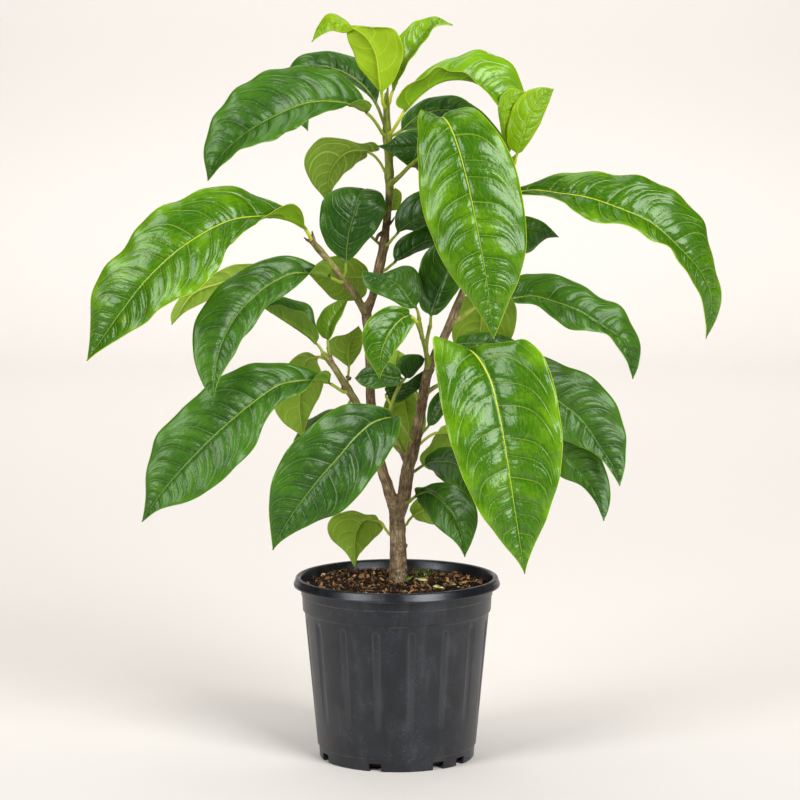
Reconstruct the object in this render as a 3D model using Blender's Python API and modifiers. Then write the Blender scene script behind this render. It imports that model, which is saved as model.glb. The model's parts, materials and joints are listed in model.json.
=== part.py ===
# Potted rose apple tree: nursery pot, soil, branched stem and one solid for each leaf.
# Origin: middle of the pot's flat base. +Z is up and the tree's front faces -Y.

import math
from itertools import accumulate

import bmesh
import bpy
from mathutils import Matrix, Vector, noise

MM = 0.001

# Front view: where stems and leaves stand is read off a view of the tree from the front.
# A place there is (across, up, back) in mm: across from the trunk, up from the base and
# back from the trunk's plane, as seen from VIEW_DISTANCE away and VIEW_TILT above level.
VIEW_DISTANCE = 3200.0
VIEW_TILT = math.radians(7.0)
VIEW_CENTRE_ACROSS = 3.0
VIEW_CENTRE_UP = 355.0
VIEW_CENTRE_HEIGHT = 362.0

# Pot, in mm
POT_HEIGHT = 183.7
LIP_RADIUS = 103.9
LIP_BOTTOM = 174.8
LIP_INNER_RADIUS = 97.0
NECK_RADIUS = 96.6
UPPER_STEP_HEIGHT = 165.0
LOWER_STEP_HEIGHT = 149.2
BODY_TOP_RADIUS = 92.8
BODY_FOOT_RADIUS = 80.1
FOOT_HEIGHT = 13.0
BASE_RADIUS = 77.0
WALL = 2.2
FLOOR = 2.6
POT_STEPS = 40

FLUTE_COUNT = 16
FLUTE_FIRST_ANGLE = 9.5
FLUTE_TOP = 139.0
FLUTE_LENGTH = 92.0
FLUTE_CUTTER_RADIUS = 9.5
FLUTE_DEPTH = 1.0
FLUTE_RUN_OUT = 1.15

DRAIN_ANGLES = (-66.0, -16.0, 32.0, 54.0, 104.0, 154.0, 204.0, 248.0)
DRAIN_WIDTH = 12.5
DRAIN_HEIGHT = 9.0
DRAIN_INNER_RADIUS = 58.0

# Soil, in mm
GAP = 0.3
SOIL_EDGE_HEIGHT = 171.5
SOIL_MOUND = 4.5
SOIL_LUMP = 1.6
SOIL_STEPS = 32
SOIL_RINGS = 5

# Stem below the soil, in mm
ROOT_ACROSS = 1.4
ROOT_BOTTOM = 128.0
ROOT_RADIUS = 9.5

# Leaves, in mm
STALK_RADIUS = 1.5
STALK_FOOT_RADIUS = 2.0
EDGE_THICKNESS = 0.75
RIB_THICKNESS = 1.9
CUPPING = 0.07
TIP_HALF_WIDTH = 0.8
TIP_THICKNESS = 0.6
FINE_STEPS = 12

TONES = {
    "young": (0.30, 0.52, 0.06),
    "bright": (0.10, 0.33, 0.03),
    "dark": (0.035, 0.16, 0.03),
    "pale": (0.22, 0.38, 0.10),
}

# Stems: (across, up, back, thickness) along each, thicker where a pair of leaves grew.
STEMS = {
    "trunk": [(1.5, 172, 0, 19), (1.5, 200, 0, 17), (0.5, 230, 0, 16), (-1, 256, 0, 15)],
    "leader": [(0, 240, 0, 13), (-7, 262, 0, 12), (-14.5, 285, 2, 10.5), (-21, 315, 4, 10),
               (-26, 355, 5, 9.5), (-28, 420, 5, 9), (-30, 443, 5, 10.5), (-24.3, 458, 5, 8.7),
               (-18.4, 484, 5, 9.5), (-13.5, 506, 5, 9.5), (-10, 535, 4, 7.4), (-7.5, 565, 2, 8),
               (-7.5, 577, 1, 9.5), (-8.2, 597, 0, 7.8), (-9.5, 619, 0, 9), (-10, 640, 0, 6.5),
               (-10.5, 652, 0, 5.5), (-10, 662, 0, 4.2)],
    "right": [(2, 240, 0, 13), (7, 258, -2, 13.5), (10.8, 285, -6, 13), (16.4, 305, -8, 12.5),
              (20.3, 325, -10, 11), (26, 355, -12, 10.5), (31, 383, -14, 9.5), (39, 402, -15, 9),
              (46.5, 416, -16, 8.5), (55.7, 437, -15, 9), (66, 463, -14, 7.5), (80, 494, -12, 7),
              (94, 528, -10, 6.6), (106, 560, -8, 6), (115, 590, -6, 5), (116.5, 598, -6, 4)],
    "upper_left": [(-29, 438, 5, 7.5), (-43.4, 462.5, 0, 7.5), (-54, 475, -4, 7.6),
                   (-66.6, 492, -8, 6.5), (-79, 507, -12, 7), (-86, 515, -14, 5)],
    "lower_left": [(-25, 323, 4, 8), (-42, 355, -8, 7.8), (-51, 369, -12, 7.6),
                   (-58.4, 381, -14, 6.8), (-65.6, 392, -16, 6.6), (-74, 402, -18, 5)],
    "top_twig": [(-7, 570, 0, 5), (3, 579, -8, 4.6), (13, 589, -16, 4.2), (25, 599, -25, 4),
                 (37, 606, -30, 4), (49, 608, -31, 3.6)],
    "left_fork": [(-65, 391, -16, 5), (-67, 400, -14, 4), (-68.5, 408, -12, 3.8)],
    "side_twig": [(56, 431, -15, 5.5), (69, 441, -14, 5), (79, 448, -13, 4.6), (93, 454, -12, 4.4),
                  (103, 456, -12, 4)],
    "sprig": [(31, 386, -14, 5.5), (29.5, 402, -20, 4.8), (24.5, 420, -27, 4), (20, 433, -34, 3.6)],
    "sprig_top": [(25.5, 417, -26, 4), (23.5, 429, -27, 3.8), (22, 438, -28, 3.6)],
    "sprig_fork": [(29, 404, -20, 4), (30.5, 417, -22, 3.8), (33.5, 430, -24, 3.6)],
    "centre_twig": [(9, 296, -5, 6), (-1, 318, -10, 5), (-7, 337, -14, 4.2), (-3, 357, -18, 3.8),
                    (4, 372, -22, 3.6)],
    "low_twig": [(28, 361, -12, 4.6), (40, 369, -6, 4.2), (55, 375, 2, 4), (81, 381, 8, 4),
                 (104, 385, 12, 3.8)],
}

# Leaves. "spine" runs from the stem along the stalk and the midrib to the tip, and "stalk" says
# how many of its points come before the blade. "reach" spreads it further to the front or back. "left" and "right" are the blade's margins, as
# seen from above the leaf with its base towards the eye. "back" is how far the middle of each
# margin lies behind the midrib.
LEAVES = {
    "leaf_01": dict(
        stem="leader", tone="young", back=(8, 8), stalk=1, reach=1.5,
        spine=[(-13, 646, -2), (-15, 661, -7), (-17, 679, -10), (-21, 703, -12), (-32, 720, -12),
               (-48, 729, -8), (-65, 732, -2), (-77, 725, 2), (-85, 713, 4)],
        left=[(-1, 677), (6, 698), (6, 714), (-6, 727), (-28, 729), (-45, 735), (-58, 739), (-68, 741),
              (-79, 730)],
        right=[(-23, 671), (-36, 686), (-44, 705), (-52, 720), (-64, 723), (-76, 718)]),
    "leaf_02": dict(
        stem="leader", tone="bright", back=(4, -14), stalk=1, reach=2,
        spine=[(-8, 648, 2), (-5, 662, 7), (6, 690, 9), (18, 708, 11), (30, 721, 12), (42, 735, 11),
               (56, 730, 8)],
        left=[(-5, 678), (-1, 700), (4, 721), (14, 731), (25, 736), (38, 739)],
        right=[(0, 672), (13, 695), (27, 713), (40, 729)]),
    "leaf_03": dict(
        stem="leader", tone="dark", back=(-8, 10), stalk=1, reach=2.2,
        spine=[(-10, 623, 6), (-20, 650, 12), (-34, 670, 20), (-58, 685, 28), (-85, 688, 34),
               (-101, 667, 38), (-99, 643, 38), (-89, 624, 36)],
        left=[(-27, 658), (-45, 671), (-67, 678), (-86, 675), (-91, 660), (-88, 640)],
        right=[(-18, 668), (-40, 697), (-63, 703), (-82, 704), (-105, 693), (-114, 667), (-106, 640)]),
    "leaf_04": dict(
        stem="leader", tone="dark", back=(-26, 14), stalk=2, reach=2.4,
        spine=[(-12, 618, -3), (-23, 632, -9), (-31, 644, -14), (-50, 654, -20), (-87, 653, -28),
               (-125, 638, -34), (-154, 620, -36), (-176, 599, -36), (-189, 574, -34)],
        left=[(-40, 644), (-62, 644), (-80, 638), (-105, 625), (-131, 613), (-152, 608), (-175, 590)],
        right=[(-30, 656), (-43, 672), (-62, 684), (-102, 689), (-138, 681), (-170, 657), (-190, 623),
               (-193, 597)]),
    "leaf_05": dict(
        stem="leader", tone="bright", back=(18, -16), stalk=2, reach=3,
        spine=[(-7, 620, -3), (2, 634, -7), (7, 643, -8), (25, 662, -10), (40, 672, -10), (56, 676, -9),
               (78, 673, -8), (97, 660, -6), (110, 647, -4), (117, 634, -2)],
        left=[(8, 655), (17, 672), (29, 687), (43, 692), (68, 703), (98, 702), (121, 683), (127, 660)],
        right=[(-1, 651), (4, 665), (16, 672), (40, 687), (54, 686), (70, 681), (88, 665), (104, 646)]),
    "leaf_06": dict(
        stem="right", tone="young", back=(2, 5), stalk=1,
        spine=[(117, 587, -9), (120, 600, -12), (124, 614, -12), (131, 634, -11), (143, 654, -9),
               (157, 666, -5)],
        left=[(111, 610), (110, 622), (112, 636), (118, 652), (130, 664), (145, 668)],
        right=[(124, 602), (132, 612), (141, 626), (148, 641), (154, 657)]),
    "leaf_07": dict(
        stem="right", tone="young", back=(3, 2), stalk=1, reach=1.5,
        spine=[(113, 588, -4), (111, 599, 1), (109, 615, 6), (107, 635, 9), (112, 653, 9),
               (129, 663, 8)],
        left=[(107, 608), (103, 630), (101, 649), (104, 660), (114, 667)],
        right=[(116, 610), (116, 628), (119, 643), (124, 654)]),
    "leaf_08": dict(
        stem="top_twig", tone="bright", back=(6, 10), stalk=1, reach=1.05,
        spine=[(33, 604, -30), (35, 613, -38), (40, 632, -50), (44, 644, -66), (52, 634, -80),
               (60, 612, -88), (70, 576, -94), (81, 524, -98), (90, 474, -96), (97, 416, -88)],
        left=[(50, 614), (66, 640), (80, 645), (93, 635), (114, 601), (125, 563), (130, 513),
              (124, 480), (113, 454), (102, 428)],
        right=[(24, 618), (22, 640), (21, 620), (21, 589), (24, 551), (34, 520), (49, 487), (67, 462),
               (86, 436)]),
    "leaf_09": dict(
        stem="leader", tone="dark", back=(10, -8), stalk=1, reach=2.4,
        spine=[(-7, 618, 4), (4, 624, 12), (23, 640, 20), (53, 645, 26), (83, 633, 30), (103, 615, 31),
               (113, 599, 31)],
        left=[(5, 636), (15, 648), (38, 659), (66, 657), (92, 637), (106, 619)],
        right=[(18, 626), (48, 627), (78, 616), (100, 603)]),
    "leaf_10": dict(
        stem="top_twig", tone="dark", back=(-2, 5), stalk=2,
        spine=[(44, 608, -29), (45, 612, -19), (38, 612, -11), (18, 608, -6), (3, 607, -8),
               (-9, 608, -11), (-20, 609, -10)],
        left=[(34, 597), (24, 588), (14, 588), (6, 593), (-6, 602)],
        right=[(36, 621), (24, 626), (14, 626), (6, 623), (-1, 619), (-9, 612)]),
    "leaf_11": dict(
        stem="leader", tone="pale", back=(10, -4), stalk=2, reach=2.2,
        spine=[(-10, 580, 4), (-18, 594, 10), (-27, 602, 15), (-47, 603, 22), (-58, 595, 25),
               (-66, 582, 27), (-69, 552, 27)],
        left=[(-35, 611), (-54, 616), (-76, 615), (-89, 604), (-92, 591), (-86, 573), (-76, 561)],
        right=[(-30, 598), (-40, 591), (-53, 580), (-63, 567)]),
    "leaf_12": dict(
        stem="upper_left", tone="dark", back=(0, 3), stalk=1, reach=1.5,
        spine=[(-52, 478, -6), (-51, 492, -10), (-48, 522, -14), (-43, 540, -15), (-39, 555, -14),
               (-35, 565, -9), (-29, 566, 0)],
        left=[(-61, 500), (-71, 511), (-77, 528), (-77, 542), (-74, 555), (-62, 566), (-46, 568)],
        right=[(-42, 499), (-33, 510), (-22, 522), (-14, 535), (-10, 547), (-13, 559), (-21, 565)]),
    "leaf_13": dict(
        stem="upper_left", tone="bright", back=(-20, 16), stalk=1, reach=2.2,
        spine=[(-85, 514, -15), (-92, 527, -22), (-107, 539, -30), (-134, 541, -40), (-169, 534, -48),
               (-215, 508, -54), (-248, 478, -54), (-276, 443, -50), (-310, 394, -42)],
        left=[(-104, 531), (-133, 535), (-156, 522), (-170, 505), (-180, 484), (-203, 463), (-230, 451),
              (-252, 432), (-280, 415), (-300, 402)],
        right=[(-91, 540), (-97, 550), (-113, 554), (-131, 559), (-172, 570), (-215, 557), (-248, 541),
               (-274, 507), (-299, 479), (-307, 447), (-307, 420)]),
    "leaf_14": dict(
        stem="upper_left", tone="pale", back=(6, 4), stalk=1, reach=1.8,
        spine=[(-66, 490, -6), (-82, 487, 4), (-114, 484, 22), (-148, 480, 36), (-177, 472, 44),
               (-204, 461, 47), (-225, 430, 44)],
        left=[(-106, 492), (-132, 491), (-160, 491), (-182, 482), (-216, 458), (-226, 440)],
        right=[(-108, 476), (-135, 468), (-162, 460), (-189, 454), (-214, 441)]),
    "leaf_15": dict(
        stem="upper_left", tone="dark", back=(-8, 4), stalk=2, reach=1.4,
        spine=[(-56, 476, -7), (-70, 479, -15), (-86, 483, -21), (-102, 482, -28), (-118, 476, -35),
               (-134, 466, -43), (-160, 440, -54), (-178, 404, -63), (-184, 356, -70)],
        left=[(-90, 476), (-108, 462), (-129, 449), (-145, 426), (-155, 415), (-162, 401), (-177, 377)],
        right=[(-86, 491), (-100, 498), (-115, 500), (-131, 496), (-167, 478), (-192, 452), (-204, 425),
               (-203, 397), (-194, 370)]),
    "leaf_16": dict(
        stem="leader", tone="pale", back=(3, 3), stalk=1, reach=2,
        spine=[(-20, 478, 10), (-27, 478, 18), (-45, 478, 30), (-65, 477, 37), (-88, 481, 40)],
        left=[(-31, 490), (-43, 497), (-63, 499), (-79, 492)],
        right=[(-33, 458), (-48, 454), (-63, 456), (-78, 470)]),
    "leaf_17": dict(
        stem="lower_left", tone="dark", back=(-12, 14), stalk=1,
        spine=[(-73, 402, -18), (-79, 410, -17), (-87, 418, -16), (-97, 425, -14), (-116, 437, -10),
               (-134, 448, -6)],
        left=[(-78, 419), (-82, 431), (-92, 441), (-104, 447), (-119, 450)],
        right=[(-80, 428), (-83, 443), (-91, 451), (-102, 457), (-119, 457)]),
    "leaf_19": dict(
        stem="left_fork", tone="dark", back=(4, -8), stalk=1,
        spine=[(-68.5, 408, -12), (-69, 414, -11), (-68, 420, -9), (-66, 431, -6), (-60, 442, -3),
               (-49, 455, 0)],
        left=[(-73, 416), (-79, 424), (-80, 434), (-75, 444), (-67, 450), (-58, 455)],
        right=[(-66, 418), (-61, 430), (-54, 442)]),
    "leaf_20": dict(
        stem="lower_left", tone="pale", back=(2, 2), stalk=1, reach=2,
        spine=[(-50, 368, -8), (-48, 387, 4), (-49, 400, 10), (-47, 412, 14), (-38, 429, 18)],
        left=[(-42, 394), (-36, 404), (-34, 413), (-34, 421)],
        right=[(-57, 394), (-67, 403), (-69, 412), (-62, 418), (-50, 421)]),
    "leaf_21": dict(
        stem="lower_left", tone="pale", back=(4, 4), stalk=1, reach=1.3,
        spine=[(-67, 394, -14), (-77, 398, -2), (-90, 396, 20), (-95, 379, 38), (-97, 357, 46),
               (-97, 343, 48), (-94, 319, 45)],
        left=[(-90, 403), (-104, 397), (-117, 376), (-123, 350), (-115, 334), (-104, 325)],
        right=[(-79, 393), (-73, 377), (-76, 361), (-85, 344), (-91, 329)]),
    "leaf_22": dict(
        stem="lower_left", tone="dark", back=(-14, 10), stalk=2, reach=1.5,
        spine=[(-53, 372, -13), (-67, 372, -21), (-80, 375, -27), (-100, 376, -36), (-118, 370, -43),
               (-138, 357, -48), (-179, 323, -55), (-220, 281, -56), (-240, 256, -54), (-255, 233, -50)],
        left=[(-86, 368), (-98, 360), (-115, 353), (-131, 335), (-141, 310), (-157, 292), (-183, 268),
              (-207, 254), (-238, 245)],
        right=[(-79, 384), (-92, 389), (-112, 392), (-143, 392), (-181, 376), (-215, 346), (-240, 320),
               (-251, 280), (-252, 252)]),
    "leaf_23": dict(
        stem="right", tone="dark", back=(-6, -4), stalk=2, reach=1.15,
        spine=[(15, 312, -14), (6, 327, -38), (-3, 337, -60), (-23, 333, -74), (-41, 318, -82),
               (-59, 297, -87), (-77, 277, -89), (-95, 254, -87), (-112, 229, -82), (-124, 205, -76)],
        left=[(4, 339), (3, 325), (-7, 302), (-21, 282), (-36, 262), (-54, 244), (-87, 230), (-115, 214)],
        right=[(-6, 344), (-23, 350), (-38, 352), (-59, 348), (-90, 325), (-112, 302), (-127, 265),
               (-127, 230)]),
    "leaf_24": dict(
        stem="trunk", tone="pale", back=(3, 3), stalk=2, reach=1.9,
        spine=[(-6, 219, 4), (-12, 227, 12), (-16, 233, 19), (-31, 236, 30), (-38, 228, 36),
               (-42, 215, 39), (-42, 188, 38)],
        left=[(-21, 240), (-32, 241), (-47, 245), (-59, 242), (-69, 231), (-66, 217), (-51, 202)],
        right=[(-14, 226), (-26, 213), (-39, 198)]),
    "leaf_25": dict(
        stem="right", tone="dark", back=(-4, -4), stalk=1, reach=1.6,
        spine=[(9, 250, -7), (18, 258, -13), (28, 263, -19), (36, 261, -25), (45, 254, -32),
               (54, 244, -37), (61, 231, -40), (66, 216, -41), (68, 198, -40)],
        left=[(18, 267), (27, 268), (36, 272), (48, 273), (61, 270), (71, 263), (79, 249), (81, 233),
              (75, 213)],
        right=[(21, 253), (25, 248), (33, 236), (43, 225), (55, 216), (63, 207)]),
    "leaf_26": dict(
        stem="trunk", tone="pale", back=(3, 3), stalk=1, reach=1.8,
        spine=[(8, 228, 5), (15, 238, 14), (28, 245, 24), (44, 244, 32), (60, 232, 36)],
        left=[(22, 234), (34, 231), (50, 229)],
        right=[(13, 247), (21, 257), (36, 258), (52, 246)]),
    "leaf_27": dict(
        stem="right", tone="dark", back=(6, 8), stalk=1, reach=1.8,
        spine=[(14, 281, -5), (27, 290, 0), (34, 293, 5), (44, 294, 12), (59, 291, 20), (71, 276, 25),
               (79, 254, 27)],
        left=[(29, 298), (38, 305), (47, 308), (61, 307), (74, 295), (80, 275)],
        right=[(36, 284), (42, 277), (50, 271), (63, 264), (73, 256)]),
    "leaf_28": dict(
        stem="right", tone="pale", back=(4, 4), stalk=1, reach=1.4,
        spine=[(23, 353, -9), (14, 366, 10), (8, 362, 30), (10, 343, 42), (12, 325, 45), (9, 297, 42)],
        left=[(3, 364), (-6, 354), (-11, 335), (-5, 315), (3, 302)],
        right=[(18, 363), (24, 347), (23, 325), (16, 307)]),
    "leaf_29": dict(
        stem="right", tone="dark", back=(4, 4), stalk=1, reach=1.5,
        spine=[(20, 317, -4), (31, 328, 3), (37, 339, 8), (44, 352, 13), (55, 361, 17), (69, 367, 20)],
        left=[(30, 336), (32, 350), (39, 361), (53, 369)],
        right=[(39, 331), (49, 343), (61, 353)]),
    "leaf_30": dict(
        stem="right", tone="pale", back=(8, 0), stalk=2, reach=1.6,
        spine=[(18, 306, -2), (30, 317, 8), (39, 322, 17), (49, 323, 26), (63, 317, 35), (73, 302, 41),
               (77, 277, 41)],
        left=[(31, 309), (23, 295), (31, 287), (52, 281), (66, 278)],
        right=[(46, 329), (60, 330), (76, 320), (84, 298)]),
    "leaf_31": dict(
        stem="sprig", tone="bright", back=(-4, -3), stalk=1, reach=1.2,
        spine=[(20, 433, -34), (14, 439, -42), (6, 437, -47), (-3, 428, -51), (-11, 415, -54),
               (-16, 400, -54), (-17, 376, -49)],
        left=[(18, 433), (15, 427), (7, 415), (-1, 404), (-8, 393), (-14, 384)],
        right=[(14, 445), (6, 448), (-6, 449), (-17, 445), (-26, 438), (-33, 427), (-35, 415), (-30, 397),
               (-23, 386)]),
    "leaf_32": dict(
        stem="sprig_top", tone="bright", back=(-3, 4), stalk=1,
        spine=[(22, 438, -28), (20, 446, -30), (14, 453, -33), (7, 464, -35), (-1, 472, -34),
               (-13, 477, -31), (-35, 484, -26)],
        left=[(8, 447), (-4, 454), (-15, 459), (-26, 464), (-33, 471)],
        right=[(22, 452), (26, 463), (25, 475), (16, 488), (6, 490), (-4, 486), (-16, 482), (-28, 483)]),
    "leaf_33": dict(
        stem="sprig_fork", tone="dark", back=(-3, 0), stalk=1,
        spine=[(34, 430, -24), (34, 438, -25), (38, 452, -24), (43, 467, -22), (50, 484, -20),
               (62, 509, -16)],
        left=[(30, 441), (24, 447), (21, 465), (22, 485), (27, 500), (37, 510), (49, 512)],
        right=[(40, 440), (49, 448), (56, 457), (63, 468), (67, 487)]),
    "leaf_34": dict(
        stem="centre_twig", tone="bright", back=(-3, 3), stalk=1,
        spine=[(0, 364, -20), (-4, 373, -26), (-12, 378, -28), (-25, 380, -27), (-42, 376, -24)],
        left=[(-6, 369), (-12, 367), (-21, 366), (-31, 368), (-38, 371)],
        right=[(-1, 383), (-8, 393), (-22, 391), (-34, 385)]),
    "leaf_35": dict(
        stem="leader", tone="dark", back=(4, 8), stalk=1, reach=3,
        spine=[(-11, 508, 1), (0, 521, -2), (10, 530, -4), (26, 538, -6), (43, 541, -6), (68, 533, -2)],
        left=[(-2, 530), (-1, 543), (7, 555), (22, 564), (43, 565), (61, 552)],
        right=[(10, 525), (18, 524), (33, 530), (53, 533)]),
    "leaf_36": dict(
        stem="leader", tone="dark", back=(4, 8), stalk=1,
        spine=[(-15, 482, 3), (-3, 492, 4), (10, 502, 5), (22, 510, 5), (35, 515, 6), (51, 514, 7),
               (73, 500, 8)],
        left=[(-4, 501), (-2, 510), (5, 518), (16, 524), (31, 531), (51, 531), (67, 516)],
        right=[(11, 498), (22, 503), (35, 507), (53, 504)]),
    "leaf_37": dict(
        stem="leader", tone="pale", back=(2, 2), stalk=1, reach=2,
        spine=[(-9, 537, 6), (-7, 543, 11), (-4, 553, 15), (-1, 567, 17)],
        left=[(1, 546), (5, 556), (4, 563)],
        right=[(-10, 547), (-10, 557), (-6, 565)]),
    "leaf_38": dict(
        stem="centre_twig", tone="dark", back=(-2, 4), stalk=1,
        spine=[(4, 371, -20), (8, 376, -18), (13, 383, -16), (20, 390, -14), (28, 396, -13)],
        left=[(2, 384), (0, 392), (6, 399), (16, 401), (24, 400)],
        right=[(14, 377), (21, 384), (26, 390)]),
    "leaf_39": dict(
        stem="right", tone="bright", back=(18, -14), stalk=1, reach=3,
        spine=[(102, 549, -9), (113, 559, -11), (133, 565, -13), (162, 562, -16), (190, 558, -18),
               (225, 546, -20), (255, 532, -20), (283, 507, -18), (305, 482, -14), (315, 455, -10),
               (309, 416, -6)],
        left=[(120, 566), (132, 571), (152, 579), (181, 584), (215, 582), (252, 577), (288, 556),
              (309, 529), (317, 493), (325, 465), (321, 438)],
        right=[(120, 560), (148, 559), (167, 553), (178, 543), (203, 532), (228, 531), (255, 515),
               (272, 508), (283, 492), (303, 460), (309, 430)]),
    "leaf_40": dict(
        stem="right", tone="dark", back=(5, 3), stalk=1, reach=2.5,
        spine=[(91, 521, -6), (103, 526, 4), (121, 528, 13), (141, 525, 20), (162, 518, 24)],
        left=[(109, 537), (130, 539), (148, 532)],
        right=[(109, 513), (123, 501), (137, 505), (149, 516)]),
    "leaf_41": dict(
        stem="side_twig", tone="dark", back=(12, -8), stalk=1, reach=2.5,
        spine=[(102, 456, -12), (111, 456, -14), (136, 459, -18), (156, 454, -20), (181, 445, -22),
               (209, 427, -22), (228, 413, -20), (236, 376, -16)],
        left=[(113, 466), (124, 480), (137, 482), (162, 480), (181, 473), (200, 460), (221, 451),
              (236, 431), (244, 407), (242, 389)],
        right=[(118, 452), (139, 450), (156, 437), (173, 426), (193, 424), (209, 421), (220, 409),
               (230, 394)]),
    "leaf_42": dict(
        stem="right", tone="bright", back=(-8, -8), stalk=2,
        spine=[(40, 405, -18), (54, 406, -44), (66, 406, -66), (76, 403, -80), (92, 379, -95),
               (103, 338, -104), (111, 292, -108), (117, 252, -106), (123, 214, -100), (128, 181, -92)],
        left=[(92, 412), (116, 414), (128, 416), (143, 404), (154, 382), (161, 353), (166, 316),
              (163, 278), (149, 234), (133, 198)],
        right=[(52, 413), (37, 419), (37, 403), (40, 377), (48, 334), (62, 288), (82, 244), (107, 210),
               (121, 193)]),
    "leaf_43": dict(
        stem="right", tone="dark", back=(4, 2), stalk=1, reach=1.4,
        spine=[(44, 412, -12), (58, 411, 4), (75, 412, 14), (98, 410, 22), (118, 400, 26), (135, 380, 26)],
        left=[(61, 418), (70, 421), (83, 423), (102, 421), (119, 414), (132, 399)],
        right=[(70, 400), (93, 393), (115, 383)]),
    "leaf_44": dict(
        stem="side_twig", tone="pale", back=(4, 4), stalk=1, reach=1.5,
        spine=[(88, 453, -10), (87, 459, 2), (86, 453, 14), (85, 438, 22), (83, 420, 28), (81, 383, 32)],
        left=[(69, 459), (58, 444), (55, 423), (60, 403), (71, 389)],
        right=[(103, 465), (117, 455), (120, 440), (114, 415), (97, 392)]),
    "leaf_45": dict(
        stem="low_twig", tone="dark", back=(5, -5), stalk=1, reach=4,
        spine=[(103, 385, 12), (114, 384, 15), (133, 375, 18), (160, 355, 21), (183, 337, 23),
               (205, 306, 24), (215, 290, 24), (223, 269, 22)],
        left=[(121, 395), (133, 400), (147, 399), (169, 389), (191, 381), (215, 358), (228, 327),
              (229, 294), (226, 278)],
        right=[(119, 370), (133, 350), (148, 330), (166, 315), (181, 309), (195, 303), (207, 293),
               (217, 279)]),
    "leaf_46": dict(
        stem="low_twig", tone="dark", back=(4, 4), stalk=1, reach=2.2,
        spine=[(94, 382, 12), (104, 370, 24), (123, 350, 36), (148, 320, 44), (167, 300, 46),
               (187, 278, 46), (199, 259, 45), (207, 234, 42)],
        left=[(118, 364), (143, 350), (173, 330), (198, 307), (210, 283), (214, 258), (211, 243)],
        right=[(107, 352), (121, 325), (141, 297), (164, 278), (184, 269), (199, 252), (204, 241)]),
    "leaf_47": dict(
        stem="centre_twig", tone="dark", back=(3, -2), stalk=1,
        spine=[(-1, 361, -17), (7, 366, -8), (14, 371, -3), (22, 376, 2), (36, 386, 6)],
        left=[(8, 375), (16, 381), (29, 388)],
        right=[(14, 361), (20, 366), (30, 377)]),
    "leaf_48": dict(
        stem="centre_twig", tone="pale", back=(2, 2), stalk=1,
        spine=[(2, 368, -19), (-1, 378, -9), (-2, 388, -5), (1, 405, -2)],
        left=[(7, 385), (11, 397)],
        right=[(-10, 381), (-14, 392), (-8, 401)]),
    "leaf_49": dict(
        stem="leader", tone="dark", back=(6, 6), stalk=1,
        spine=[(-6, 598, 4), (6, 606, 24), (32, 607, 62), (62, 588, 98), (84, 550, 122), (92, 504, 128)],
        left=[(22, 628), (52, 630), (88, 600), (104, 560), (104, 528)],
        right=[(18, 588), (42, 566), (62, 545), (77, 520)]),
    "leaf_50": dict(
        stem="right", tone="dark", back=(6, 6), stalk=1,
        spine=[(33, 391, -14), (40, 394, 34), (60, 376, 84), (94, 340, 120), (114, 288, 136),
               (122, 235, 134)],
        left=[(50, 396), (70, 384), (98, 368), (124, 344), (140, 300), (136, 262)],
        right=[(44, 374), (62, 344), (84, 302), (104, 260)]),
    "leaf_51": dict(
        stem="upper_left", tone="dark", back=(6, 6), stalk=2,
        spine=[(-77, 506, -6), (-86, 518, 10), (-99, 534, 36), (-140, 546, 66), (-188, 536, 94),
               (-224, 512, 110), (-252, 484, 114), (-272, 452, 110)],
        left=[(-114, 538), (-144, 537), (-184, 512), (-216, 484), (-240, 462), (-258, 450)],
        right=[(-112, 547), (-146, 558), (-190, 556), (-228, 538), (-258, 506), (-270, 478)]),
    "leaf_52": dict(
        stem="lower_left", tone="dark", back=(6, 6), stalk=1,
        spine=[(-44, 358, -6), (-50, 348, 32), (-62, 334, 80), (-76, 302, 118), (-88, 262, 134),
               (-96, 228, 136)],
        left=[(-40, 338), (-38, 314), (-50, 280), (-70, 248)],
        right=[(-70, 344), (-94, 330), (-108, 298), (-110, 258)]),
    "leaf_53": dict(
        stem="leader", tone="dark", back=(6, 6), stalk=1,
        spine=[(-14, 508, 6), (-27, 520, 30), (-43, 536, 66), (-50, 534, 100), (-52, 512, 126)],
        left=[(-48, 524), (-70, 535), (-72, 532), (-66, 520)],
        right=[(-26, 532), (-24, 548), (-28, 545), (-38, 524)]),
}


def place(across, up, back):
    """Real place, in metres, of a point read off the front view."""
    sine = math.sin(VIEW_TILT)
    cosine = math.cos(VIEW_TILT)
    rise = up - VIEW_CENTRE_UP
    height = (rise * (1 + back * cosine / VIEW_DISTANCE) - back * sine) / (
        cosine + rise * sine / VIEW_DISTANCE)
    distance = VIEW_DISTANCE + back * cosine - height * sine
    x = VIEW_CENTRE_ACROSS + (across - VIEW_CENTRE_ACROSS) * distance / VIEW_DISTANCE
    return Vector((x, back, VIEW_CENTRE_HEIGHT + height)) * MM


def fine_path(points):
    """A smooth curve through the given points, with FINE_STEPS steps from one to the next."""
    ends = [points[0] * 2 - points[1]] + points + [points[-1] * 2 - points[-2]]
    fine = []
    for index in range(len(points) - 1):
        a, b, c, d = ends[index:index + 4]
        # Knot spacing by the root of each chord keeps the curve from looping at close points.
        t1 = max((b - a).length, 1e-9) ** 0.5
        t2 = t1 + max((c - b).length, 1e-9) ** 0.5
        t3 = t2 + max((d - c).length, 1e-9) ** 0.5
        for step in range(FINE_STEPS):
            t = t1 + (t2 - t1) * step / FINE_STEPS
            ab = a + (b - a) * (t / t1)
            bc = b + (c - b) * ((t - t1) / (t2 - t1))
            cd = c + (d - c) * ((t - t2) / (t3 - t2))
            abc = ab + (bc - ab) * (t / t2)
            bcd = bc + (cd - bc) * ((t - t1) / (t3 - t1))
            fine.append(abc + (bcd - abc) * ((t - t1) / (t2 - t1)))
    fine.append(points[-1])
    return fine


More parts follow.
